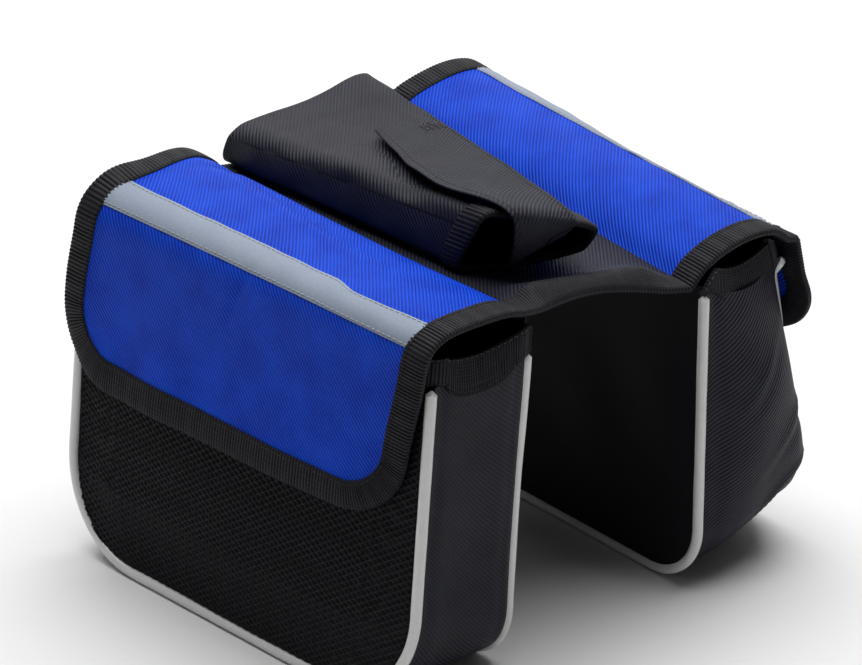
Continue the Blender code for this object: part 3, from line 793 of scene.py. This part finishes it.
def make_strip(side):
    surface = FLAPS[side]
    far, near = STRIP_PLACE[side]
    half = FLAP_HALF - BINDING_WIDTH + 0.0012
    x = np.linspace(-half, half, 171)[None]
    across = np.linspace(0, 1, 13)[:, None]
    middle = mix(far, near, x / half / 2 + 0.5)
    r = middle + STRIP_WIDTH * (across - 0.5) + strip_wave(side, x) * (1 - across)
    lift = 0.00075 + 0.00025 * np.sin(np.pi * across) + 0.00012 * ripple(x, r, 41, 0.012)
    points, normals = surface.at(x, r, lift), surface.normal(*np.broadcast_arrays(x, r))
    uv = pairs(x, r)
    order = outward(side)
    edge = 0.35 + 0.65 * np.sqrt(np.clip(np.sin(np.pi * across), 0, 1))
    strip = slab_piece(f"{side}_strip_tape", points[:, order], normals[:, order],
                       np.broadcast_to(0.0006 * edge, points.shape[:2]), SILVER, uv[:, order])
    finish_piece(strip, "reflective_tape", f"{side}_reflective_strip")
    runs = []
    for row in (1, 11):
        runs.append((points[row] + normals[row] * 0.0003, normals[row]))
    stitches(f"{side}_strip_stitches", runs, GREY_THREAD, "reflective_tape", 0.0026, 0.0019, 0.00016)
    return strip


# Pouch pieces

def outline_lines(side, share, inset, top, counts):
    """Flat points down the near side, along the bottom and up the far side, as x and z."""
    side_steps, arc_steps, base_steps = counts
    radius = mix(INNER_CORNER_RADIUS, OUTER_CORNER_RADIUS[side], share) - inset
    bottom = PIPING_RADIUS + inset
    turn = bottom + radius
    z = mix(top, turn, np.arange(side_steps) / side_steps)
    near = np.column_stack((near_x(side, share, z) - inset, z))
    angle = np.linspace(0, math.pi / 2, arc_steps + 1)
    near_arc = np.column_stack((
        near_x(side, share, turn) - inset - radius * (1 - np.cos(angle)), turn - radius * np.sin(angle)))
    far_arc = np.column_stack((
        far_x(side, share, turn) + inset + radius * (1 - np.sin(angle)), turn - radius * np.cos(angle)))
    step = np.arange(1, base_steps)[:, None] / base_steps
    base = mix(near_arc[-1], far_arc[0], step)
    z = mix(turn, top, np.arange(1, side_steps + 1) / side_steps)
    far = np.column_stack((far_x(side, share, z) + inset, z))
    return np.vstack((near, near_arc, base, far_arc, far))


def panel_fill(outline, top_at, rows):
    """Flat points that fill a U outline, rows from the bottom up to the top edge."""
    near = outline[:rows + 1][::-1]
    base = outline[rows:len(outline) - rows][::-1]
    far = outline[len(outline) - rows - 1:]
    u = np.linspace(0, 1, len(base))[None, :, None]
    v = np.linspace(0, 1, rows + 1)[:, None, None]
    top_x = mix(far[-1, 0], near[-1, 0], u[0, :, 0])
    top = np.column_stack((top_x, top_at(top_x)))
    corners = mix(mix(base[0], base[-1], u), mix(top[0], top[-1], u), v)
    return mix(base[None], top[None], v) + mix(far[:, None], near[:, None], u) - corners


CLOTH_TOP = BAG_HEIGHT - HEM_WIDTH - GAP
SEAM_INSET = PIPING_RADIUS + GAP
SEAM_TOP = CLOTH_TOP + SEAM_RISE + 0.001
SEAM_SHARE = 1.5 * SEAM_INSET / MOUTH_DEPTH


def mouth_sag(share):
    return hump((share - SEAM_SHARE) / (1 - 2 * SEAM_SHARE))


def net_relief(x, z):
    """Height of the mesh cloth's strands, 0 in a hole and 1 on a strand."""
    a = np.abs(np.cos(np.pi * (x / NET_WIDTH + z / NET_HEIGHT)))
    b = np.abs(np.cos(np.pi * (x / NET_WIDTH - z / NET_HEIGHT)))
    return np.sqrt(np.clip(1 - (np.minimum(a, b) / 0.50) ** 2, 0, 1))


def make_outer_panel(side):
    counts = (150, 70, 225)
    outline = outline_lines(side, 1.0, SEAM_INSET * 0.4, SEAM_TOP, counts)
    flat = panel_fill(outline, lambda x: np.full_like(x, SEAM_TOP), 185)
    x, z = flat[..., 0], flat[..., 1]
    depth = depth_at(side, z) + bulge(x, z) + 0.0007 * ripple(x, z, 61, 0.07)
    base = place(side, x, depth, z)
    normals = grid_normals(base)
    if normals[90, 150, 1] * SIGN[side] < 0:
        normals = -normals
    rim = np.ones(x.shape)
    rim[:3], rim[:, :3], rim[:, -3:] = 0.0, 0.0, 0.0
    relief = 0.0007 + NET_RELIEF * (net_relief(x, z) - 0.7)
    points = base + normals * (relief * rim)[..., None]
    order = outward(side)
    uv = pairs(x, z)
    panel = grid_piece(f"{side}_mesh_panel", points[:, order], NET, uv[:, order], smooth=80)
    return finish_piece(panel, "mesh_cloth", f"{side}_outer_panel")


def make_inner_panel(side):
    half = PANEL_LENGTH / 2 - SEAM_INSET
    xs = np.linspace(-half, half, 60)
    tops = np.array([lowest_cover(side, x, 0.0) for x in xs])
    counts = (56, 24, 60)
    inset = SEAM_INSET * 0.4
    outline = outline_lines(side, 0.0, inset, CLOTH_TOP, counts)
    top_near, top_far = np.interp(half, xs, tops), np.interp(-half, xs, tops)
    rows = counts[0] + counts[1] // 2
    outline[:counts[0], 1] = mix(top_near, outline[counts[0], 1], np.arange(counts[0]) / counts[0])
    rise = np.arange(1, counts[0] + 1) / counts[0]
    outline[-counts[0]:, 1] = mix(outline[-counts[0] - 1, 1], top_far, rise)
    flat = panel_fill(outline, lambda x: np.interp(x, xs, tops), rows)
    x, z = flat[..., 0], flat[..., 1]
    depth = PANEL_WAVE * np.sin(x / half * 5) * hump(z / BAG_HEIGHT)
    depth = depth + 0.0008 * ripple(x, z, 71, 0.06) * hump(z / BAG_HEIGHT)
    points = place(side, x, depth, z)
    normals = grid_normals(points)
    uv = pairs(x, z)
    # The inner panels use the darker copy of the black cloth, painted shade.
    panel = slab_piece(f"{side}_inner_cloth_panel", points, normals, 0.0012, SHADED_BLACK_CLOTH, uv)
    return finish_piece(panel, "black_cloth", f"{side}_inner_panel")


def gusset_dents(side, s, share, z):
    """Soft dents of the gusset, outwards positive. s runs along the strip from the near top."""
    total = 0.0007 * ripple(s, share * 0.05, 81 + len(side), 0.055)
    total = total * hump(share)
    edge = np.minimum(share, 1 - share) * 0.05
    total = total - 0.0006 * np.exp(-((edge - 0.006) / 0.0025) ** 2)
    if side == "left":
        return total - 0.0010 * np.exp(-((share - 0.86) / 0.07) ** 2) * hump(z / CLOTH_TOP)
    near = s < 0.2
    across = share * 0.06
    total = total + near * 0.0050 * spot(across, z, (0.052, 0.040), (0.012, 0.030))
    for at, long, high in (((0.040, 0.030), 0.020, 0.0013), ((0.036, 0.020), 0.016, 0.0010),
                           ((0.046, 0.062), 0.018, 0.0008), ((0.030, 0.088), 0.016, 0.0006)):
        total = total + near * high * spot(across, z, at, (long, 0.0022), 42)
        beside = (at[0] + 0.003, at[1] - 0.0035)
        total = total - near * high * 0.8 * spot(across, z, beside, (long, 0.0024), 42)
    return total


def make_gusset(side):
    counts = (64, 26, 70)
    inner = outline_lines(side, 0.0, 0.0, SEAM_TOP, counts)[:, None]
    outer = outline_lines(side, 1.0, 0.0, SEAM_TOP, counts)[:, None]
    depth = depth_at(side, (inner[..., 1] + outer[..., 1]) / 2)
    step = np.linspace(0, 1, 35)[None]
    room = SEAM_INSET * 0.5 / depth
    share = mix(room, 1 - room, step)
    x, z = mix(inner[..., 0], outer[..., 0], share), mix(inner[..., 1], outer[..., 1], share)
    z = z - MOUTH_SAG[side] * mouth_sag(share) * ease(z / CLOTH_TOP)
    low = ease(1 - (z - PIPING_RADIUS) / INNER_CORNER_RADIUS)
    settle = (PIPING_RADIUS + FLOOR_SEAT - CLOTH / 2) * np.minimum(1.0, 2.6 * np.minimum(share, 1 - share))
    swell = END_SWELL[side] * hump(share) * hump(z / CLOTH_TOP) * (1 - low)
    s = distances(np.column_stack((mix(inner, outer, 0.5)[:, 0], np.zeros(len(inner)))))[:, None]
    base = place(side, x + np.sign(x) * swell, share * depth_at(side, z), z - settle * low)
    normals = grid_normals(base)
    centre = place(side, 0.0, BASE_DEPTH[side] / 2, BAG_HEIGHT / 2)
    if ((base - centre) * normals).sum() < 0:
        normals = -normals
    dents = gusset_dents(side, s, share, z) * (1 - low * (1 if side == "left" else 0.5))
    points = base + normals * dents[..., None]
    uv = pairs(share * 0.05, s)
    if side == "right":
        points, normals, uv = points[:, ::-1], normals[:, ::-1], uv[:, ::-1]
    piece = slab_piece(f"{side}_end_strip", points[:, ::-1], normals[:, ::-1], 0.0012, BLACK, uv[:, ::-1])
    return finish_piece(piece, "black_cloth", f"{side}_gusset")


def make_piping(side, name, share):
    line = outline_lines(side, share, 0.0, CLOTH_TOP + SEAM_RISE, (60, 26, 60))
    x, z = line[:, 0], line[:, 1]
    points = place(side, x, share * depth_at(side, z), z)
    tangent = np.gradient(points, axis=0)
    tangent /= np.linalg.norm(tangent, axis=1, keepdims=True)
    outwards = place(side, x, share * depth_at(side, z) + 0.01, z) - points
    first = np.cross(tangent, outwards)
    first /= np.linalg.norm(first, axis=1, keepdims=True)
    second = np.cross(first, tangent)
    along = distances(points)
    end = np.minimum(along, along[-1] - along)
    radius = PIPING_RADIUS * np.where(end < 0.0014, np.sqrt(np.clip(end / 0.0014, 0.06, 1)), 1.0)
    radius = radius * (1 + 0.012 * np.sin(along / 0.004))
    angle = np.arange(16) / 16 * math.tau
    tube = points[:, None] + radius[:, None, None] * (
        np.cos(angle)[None, :, None] * first[:, None] + np.sin(angle)[None, :, None] * second[:, None])
    tube[..., 2] = np.maximum(tube[..., 2], 0.0)
    uv = pairs(along[:, None], (angle * PIPING_RADIUS)[None])
    piece = grid_piece(f"{side}_{name}_cord", tube, WHITE, uv, wrap_columns=True, caps=True)
    return finish_piece(piece, "white_piping", f"{side}_{name}")


def hem_path(side):
    """Plan of the mouth: x, depth share and mouth sag, from the near end round to the far end."""
    turn = HEM_WIDTH * 0.5
    turn_share = turn / MOUTH_DEPTH
    start = -CLOTH / 2 / MOUTH_DEPTH
    shares = np.linspace(start, 1 - turn_share, int(MOUTH_DEPTH * (1 - turn_share) / RIB_STEP))
    near_corner, far_corner = near_x(side, 1.0, BAG_HEIGHT), far_x(side, 1.0, BAG_HEIGHT)
    near = np.column_stack((near_x(side, shares, BAG_HEIGHT), shares, mouth_sag(shares)))
    far = np.column_stack((far_x(side, shares, BAG_HEIGHT), shares, mouth_sag(shares)))[::-1]
    angle = np.linspace(0, math.pi / 2, 34)[1:-1]
    near_turn = np.column_stack((near_corner - turn * (1 - np.cos(angle)),
                                 1 - turn_share * (1 - np.sin(angle)), mouth_sag(1 + 0 * angle)))
    far_turn = np.column_stack((far_corner + turn * (1 - np.cos(angle[::-1])),
                                1 - turn_share * (1 - np.sin(angle[::-1])), 0 * angle))
    length = near_corner - far_corner - 2 * turn
    x = np.linspace(near_corner - turn, far_corner + turn, int(length / RIB_STEP / 1.3))
    outer = np.column_stack((x, np.ones_like(x), np.zeros_like(x)))
    return np.vstack((near, near_turn, outer, far_turn, far))


def make_mouth_hem(side):
    x, share, sag = hem_path(side).T
    drop = MOUTH_SAG[side] * sag
    tops = np.array([lowest_cover(side, a, b * MOUTH_DEPTH) for a, b in zip(x, share)])
    top = np.minimum(BAG_HEIGHT - drop, tops)
    bottom = CLOTH_TOP - drop + SEAM_RISE * (1 - ease(sag / 0.8))
    half = HEM_THICKNESS / 2

    def hem_line(level):
        z = mix(bottom, top, level)
        return place(side, x - np.sign(x) * HEM_LEAN * sag * level, share * depth_at(side, z), z)

    levels = np.array((0.0, 0.02, 0.10, 0.50, 0.86, 0.97, 1.0, 0.97, 0.86, 0.50, 0.10, 0.02))
    heights = half * np.array((0.55, 0.92, 1.0, 1.0, 0.95, 0.62, 0.0, -0.62, -0.95, -1.0, -1.0, -0.6))
    middle = hem_line(0.5)
    normals = grid_normals(np.stack((hem_line(0.0), middle, hem_line(1.0))))[1]
    centre = place(side, 0.0, MOUTH_DEPTH / 2, BAG_HEIGHT)
    if ((middle - centre) * normals).sum() < 0:
        normals = -normals
    s = distances(middle)
    rows = []
    for level, height in zip(levels, heights):
        rib = rib_wave(s, HEM_RIB_PITCH) * np.sign(height) * min(1.0, abs(height) / half * 1.2)
        rows.append(hem_line(level) + normals * (height + rib + 0.0002 * ripple(s, level, 91, 0.02))[:, None])
    points = np.stack(rows, axis=1)
    uv = pairs((s * RIB_PITCH / HEM_RIB_PITCH)[:, None], np.arange(len(levels))[None] * 0.003)
    if side == "left":
        points, uv = points[:, ::-1], uv[:, ::-1]
    hem = finish_piece(grid_piece(f"{side}_mouth_tape", points, TAPE, uv, wrap_columns=True, caps=True),
                       "ribbed_tape", f"{side}_mouth_hem")
    stitches(f"{side}_mouth_stitches", [(hem_line(0.12) + normals * (half + 0.00008), normals)],
             THREAD, "ribbed_tape")
    stitches(f"{side}_mouth_beads", [(hem_line(0.95) + normals * half * 0.8, normals)], BEAD, "ribbed_tape",
             0.0025, 0.0012, 0.00022)
    return hem


# Bridge, pocket and strap

def bridge_swell(x, share):
    """Rise of the bridge's cloth between the pocket's mouth and its near edge."""
    along = ease((x - BRIDGE_SWELL_START) / BRIDGE_SWELL_RUN)
    along = along * (1 - ease((x - (FLAP_HALF - BINDING_WIDTH)) / BINDING_WIDTH))
    return BRIDGE_SWELL * along * ease(share / 0.2) * ease((1 - share) / 0.2)


def make_bridge():
    half = FLAP_HALF - BINDING_WIDTH + SEW_LAP
    x = np.linspace(-half, half, 130)[None]
    share = np.linspace(0.0, 1.0, 61)[:, None]
    points = bridge_point(x, share)
    points[..., 2] += 0.0004 * ripple(points[..., 0], points[..., 1], 101, 0.04) * hump(share)
    points[..., 2] += bridge_swell(points[..., 0], share)
    normals = -grid_normals(points)
    normals = np.where(normals[..., 2:] < 0, -normals, normals)
    uv = points[..., :2].copy()
    bridge = finish_piece(slab_piece("bridge_cloth", points[::-1], normals[::-1], 0.0012, BLACK, uv[::-1]),
                          "black_cloth", "bridge")
    tapes = [make_bridge_tape("near", 1.0), make_bridge_tape("far", -1.0)]
    return bridge, tapes


def make_bridge_tape(name, sign):
    rough = bound_profile(BINDING_WIDTH, BINDING_THICKNESS)
    length = distances(rough[:, :2])
    at = np.linspace(0, length[-1], 44)
    profile = np.column_stack([np.interp(at, length, rough[:, k]) for k in range(3)])
    share = np.linspace(0.0, 1.0, int(CHANNEL_WIDTH / RIB_STEP))[:, None]
    x = sign * (FLAP_HALF - profile[None, :, 0])
    base = bridge_point(x, share)
    along = share * CHANNEL_WIDTH
    ribs = rib_wave(along)
    height = profile[None, :, 1] + np.sign(profile[None, :, 1]) * ribs * profile[None, :, 2]
    points = base.copy()
    points[..., 2] += height + bridge_swell(base[..., 0], share)
    uv = pairs(along, at[None])
    if sign < 0:
        points, uv = points[:, ::-1], uv[:, ::-1]
    tape = grid_piece(f"bridge_tape_{name}", points, TAPE, uv, wrap_columns=True, caps=True)
    return finish_piece(tape, "ribbed_tape", f"bridge_binding_{name}")


def pocket_point(x, across, level):
    x, across, level = np.broadcast_arrays(x, across, level)
    share = (x - POCKET_FAR_X) / (POCKET_NEAR_X - POCKET_FAR_X)
    y = mix(mix(*POCKET_LEFT, share), mix(*POCKET_RIGHT, share), across)
    y = y + POCKET_BOW * hump(np.clip(share, 0, 1)) * across
    y = y - POCKET_FOOT * (1 - np.minimum(level, 1)) * (1 - across) ** 3
    moved = x + mix(POCKET_FAR_SKEW, -POCKET_MOUTH_SKEW, share) * (0.5 - across)
    floor = bridge_height(moved, y) + (BINDING_THICKNESS + HEM_THICKNESS) / 2 + GAP
    lower_right = mix(1.0, 0.72, share * across)
    mouth = ease((share - 0.72) / 0.28) * (1 - level)
    height = level * mix(*POCKET_HEIGHT, share) * lower_right + MOUTH_FLOOR_RISE * mouth * across ** 2
    return np.stack((moved - MOUTH_UNDERCUT * mouth, y, floor + height), axis=-1)


def pocket_loop(count):
    """The pocket's section as an even, softly rounded loop of places and levels."""
    corners = np.array(POCKET_SECTION + POCKET_SECTION[:1])
    scaled = corners * (0.065, 0.020)
    length = distances(scaled)
    at = np.arange(count) / count * length[-1]
    loop = np.column_stack([np.interp(at, length, scaled[:, k]) for k in (0, 1)])
    waves = np.fft.rfftfreq(count, length[-1] / count) * math.tau
    soft = np.exp(-(waves * POCKET_SOFTNESS) ** 2 / 2)[:, None]
    loop = np.fft.irfft(np.fft.rfft(loop, axis=0) * soft, count, axis=0)
    return loop / (0.065, 0.020), at


def pocket_dents(x, across, level):
    """Sag and wrinkles of the pocket's top and sides, outwards positive."""
    top = ease((level - 0.7) / 0.25)
    share = (x - POCKET_FAR_X) / (POCKET_NEAR_X - POCKET_FAR_X)
    total = 0.0013 * top * ripple(x, across * 0.05, 111, 0.048)
    total = total - 0.0015 * top * hump(across) * hump(share)
    wall = (1 - top) * ease(level / 0.3)
    return total + 0.0005 * wall * ripple(x, level * 0.01, 113, 0.030)


def ring_normals(points):
    """Normals of a closed tube whose rows are rings."""
    ahead = np.roll(points, -1, 1) - np.roll(points, 1, 1)
    normal = np.cross(np.gradient(points, axis=0), ahead)
    normal /= np.maximum(np.linalg.norm(normal, axis=-1, keepdims=True), 1e-12)
    centre = points.mean(1, keepdims=True)
    return normal if ((points - centre) * normal).sum() > 0 else -normal


def make_pocket():
    loop, _ = pocket_loop(170)
    across, level = loop[None, :, 0], loop[None, :, 1]
    mouth = POCKET_NEAR_X - POCKET_HEM_WIDTH + SEW_LAP
    x = np.linspace(POCKET_FAR_X, mouth, 110)[:, None]
    base = pocket_point(x, across, level)
    normals = ring_normals(base)
    outer = base + normals * (0.0006 + pocket_dents(x, across, level))[..., None]
    inner = (base - normals * 0.0006)[::-3]
    rounds = []
    for shrink, back in ((0.05, 0.0016), (0.35, 0.0017), (0.75, 0.0016), (0.93, 0.0010), (0.985, 0.0004)):
        ring = outer[0].mean(0) + (outer[0] - outer[0].mean(0)) * shrink
        ring[:, 0] -= back
        rounds.append(ring)
    points = np.concatenate((np.array(rounds), outer, inner))
    uv = points[..., :2].copy()
    uv[..., 1] = np.where(np.abs(normals[0, :, 2])[None] < 0.6, points[..., 2], points[..., 1])
    pocket = grid_piece("pocket_cloth", points, BLACK, uv, wrap_columns=True, caps=True)
    return finish_piece(pocket, "black_cloth", "top_pocket")


def make_pocket_hem():
    loop, at = pocket_loop(480)
    across, level = loop[:, 0], loop[:, 1]
    width = POCKET_HEM_WIDTH
    half = HEM_THICKNESS / 2
    insets = np.array((1.0, 0.99, 0.94, 0.5, 0.08, 0.02, 0.0, 0.02, 0.08, 0.5, 0.94, 0.99)) * width
    heights = half * np.array((0.4, 0.85, 1.0, 1.0, 0.95, 0.6, 0.0, -0.6, -0.95, -1.0, -1.0, -0.7))
    rings = pocket_point(POCKET_NEAR_X - insets[:, None], across[None], level[None])
    plain = pocket_point(POCKET_NEAR_X - np.array([[width], [width / 2], [0.0]]), across[None], level[None])
    normals = ring_normals(plain)[1]
    dents = pocket_dents(np.array(POCKET_NEAR_X - width), across, level)
    rib = rib_wave(at, at[-1] / round(at[-1] / RIB_PITCH))
    strength = np.minimum(1.0, np.abs(heights) / half * 1.2) * np.sign(heights)
    out = heights[:, None] + strength[:, None] * rib[None] + dents[None]
    points = rings + normals[None] * out[..., None]
    uv = pairs(at[None], np.arange(len(insets))[:, None] * 0.002)
    hem = grid_piece("pocket_tape", points, TAPE, uv, wrap_rows=True, wrap_columns=True)
    return finish_piece(hem, "ribbed_tape", "top_pocket_hem")


def pocket_top(x, y):
    """Height of the pocket's upper side above points, before its dents."""
    x = np.minimum(x, POCKET_NEAR_X)
    share = (x - POCKET_FAR_X) / (POCKET_NEAR_X - POCKET_FAR_X)
    left, right = mix(*POCKET_LEFT, share), mix(*POCKET_RIGHT, share)
    across = (y - left) / (right - left)
    upper = np.array([row for row in POCKET_SECTION if row[1] > 0.5])
    return pocket_point(x, across, np.interp(across, upper[:, 0], upper[:, 1]))[..., 2]


def strap_grid():
    path = smooth_line(STRAP_PATH, 14)
    edge = np.array((0.0, 0.0004, 0.0012))
    j = np.concatenate((edge / STRAP_WIDTH, np.linspace(0.08, 0.92, 22), 1 - edge[::-1] / STRAP_WIDTH))
    past, left, right, height = (path[:, k][None] for k in range(4))
    j = j[:, None]
    x = POCKET_NEAR_X + past
    y = mix(left, right, j)
    lift = (HEM_THICKNESS + STRAP_THICKNESS) / 2 + GAP
    edge_lift = (STRAP_EDGE_LIFT * (1 - j) ** 2 + 0.0008 * j ** 6) * hump(1 - past / STRAP_PATH[0][0])
    down = np.where(height < 0, height * mix(1.0, STRAP_RIGHT_DROP, j), height)
    z = pocket_top(x, y) + lift + down + edge_lift
    return np.stack((x + 0 * y, y, z), axis=-1), j, path


def make_strap():
    points, j, path = strap_grid()
    normals = grid_normals(points)
    normals = np.where((normals[..., 2:] + normals[..., :1] * 0.6) < 0, -normals, normals)
    s = distances(points[len(points) // 2])[None]
    free = ease((s - 0.02) / 0.03)
    wrinkle = 0.0005 * ripple(s, j * STRAP_WIDTH, 121, 0.028) * free
    points = points + normals * wrinkle[..., None]
    away = np.minimum(np.minimum(j, 1 - j) * STRAP_WIDTH, s[:, ::-1][:, :1] - s)
    thick = STRAP_THICKNESS * (0.35 + 0.65 * np.sqrt(np.clip(away / 0.0010, 0, 1)))
    uv = pairs(s, j * STRAP_WIDTH)
    strap = slab_piece("strap_cloth", points[::-1], normals[::-1], thick[::-1], BLACK, uv[::-1])
    finish_piece(strap, "black_cloth", "closure_strap")
    up = STRAP_THICKNESS / 2
    runs = []
    for row in (3, len(j) - 4):
        runs.append((points[row] + normals[row] * up, normals[row]))
    end = len(path) - 5
    runs.append((points[3:-3, end] + normals[3:-3, end] * up, normals[3:-3, end]))
    sewn = stitches("strap_stitches", runs, THREAD, "black_cloth", 0.0026, 0.0019, 0.00018)
    tack = np.arange(9)
    row, column = int(len(j) * 0.58) + tack, 3 + (tack % 2) * 3
    lifted = points[row, column] + normals[row, column] * up
    tacked = stitches("strap_tack", [(lifted, normals[row, column])], BEAD, "black_cloth",
                      0.0021, 0.0020, 0.00030)
    return strap, [sewn, tacked]


# Build it all

for pouch in SIDES:
    make_flap(pouch)
    make_outer_panel(pouch)
    make_inner_panel(pouch)
    make_gusset(pouch)
    make_piping(pouch, "outer_piping", 1.0)
    make_piping(pouch, "inner_piping", 0.0)
    make_mouth_hem(pouch)
bridge_sheet, bridge_tapes = make_bridge()
make_pocket()
make_pocket_hem()
strap_sheet, strap_sewn = make_strap()


# Studio: floor, lights and camera

def add_floor():
    half = 6.0
    mesh = bpy.data.meshes.new("floor")
    mesh.from_pydata([(-half, -half, 0), (half, -half, 0), (half, half, 0), (-half, half, 0)], [],
                     [(0, 1, 2, 3)])
    floor = bpy.data.objects.new("floor", mesh)
    bpy.context.scene.collection.objects.link(floor)
    mesh.materials.append(base_material("Floor", (0.80, 0.80, 0.80), 0.9, 0.0))


def add_light(name, place_at, aim, size, power):
    light = bpy.data.lights.new(name, "AREA")
    light.shape = "RECTANGLE"
    light.size, light.size_y = size
    light.energy = power
    obj = bpy.data.objects.new(name, light)
    bpy.context.scene.collection.objects.link(obj)
    obj.location = place_at
    obj.rotation_mode = "QUATERNION"
    obj.rotation_quaternion = (Vector(aim) - Vector(place_at)).to_track_quat("-Z", "Y")


def add_world(strength):
    world = bpy.data.worlds.new("Studio")
    bpy.context.scene.world = world
    world.use_nodes = True
    background = world.node_tree.nodes["Background"]
    background.inputs["Color"].default_value = (1.0, 1.0, 1.0, 1.0)
    background.inputs["Strength"].default_value = strength


# Camera, as fitted to the photo: turn, height angle and roll in degrees, picture scale in
# pixels per millimetre, offsets and distance in millimetres, picture width in pixels
CAMERA_TURN = 47.83719
CAMERA_RISE = 24.33762
CAMERA_ROLL = 0.27206
PICTURE_SCALE = 2.4631253
CAMERA_ASIDE = -2.422389
CAMERA_UP = 83.362492
CAMERA_DISTANCE = 1200.0
PICTURE_WIDTH = 862
SENSOR = 36.0


def add_camera():
    turn, rise, roll = (math.radians(a) for a in (CAMERA_TURN, CAMERA_RISE, CAMERA_ROLL))
    back = Vector((math.sin(turn) * math.cos(rise), -math.cos(turn) * math.cos(rise), math.sin(rise)))
    right = Vector((math.cos(turn), math.sin(turn), 0))
    up = back.cross(right)
    right, up = (right * math.cos(roll) + up * math.sin(roll),
                 up * math.cos(roll) - right * math.sin(roll))
    lens = bpy.data.cameras.new("Camera")
    lens.sensor_width = SENSOR
    lens.lens = PICTURE_SCALE * CAMERA_DISTANCE * SENSOR / PICTURE_WIDTH
    lens.clip_start = 0.01
    camera = bpy.data.objects.new("Camera", lens)
    bpy.context.scene.collection.objects.link(camera)
    camera.matrix_world = Matrix((right, up, back)).transposed().to_4x4()
    camera.location = (right * CAMERA_ASIDE + up * CAMERA_UP + back * CAMERA_DISTANCE) / 1000 + Vector(SHIFT)
    bpy.context.scene.camera = camera
    return back


add_floor()
add_world(0.07)
towards = add_camera()
level_back = Vector((towards.x, towards.y, 0)).normalized()
add_light("Top", level_back * -0.35 + Vector((0, 0, 2.4)), (0, 0, 0.1), (2.4, 2.0), 82.0)
add_light("Behind", level_back * -1.8 + Vector((0, 0, 1.0)), (0, 0, 0.1), (2.2, 1.2), 13.0)
bpy.context.scene.view_settings.view_transform = "Standard"
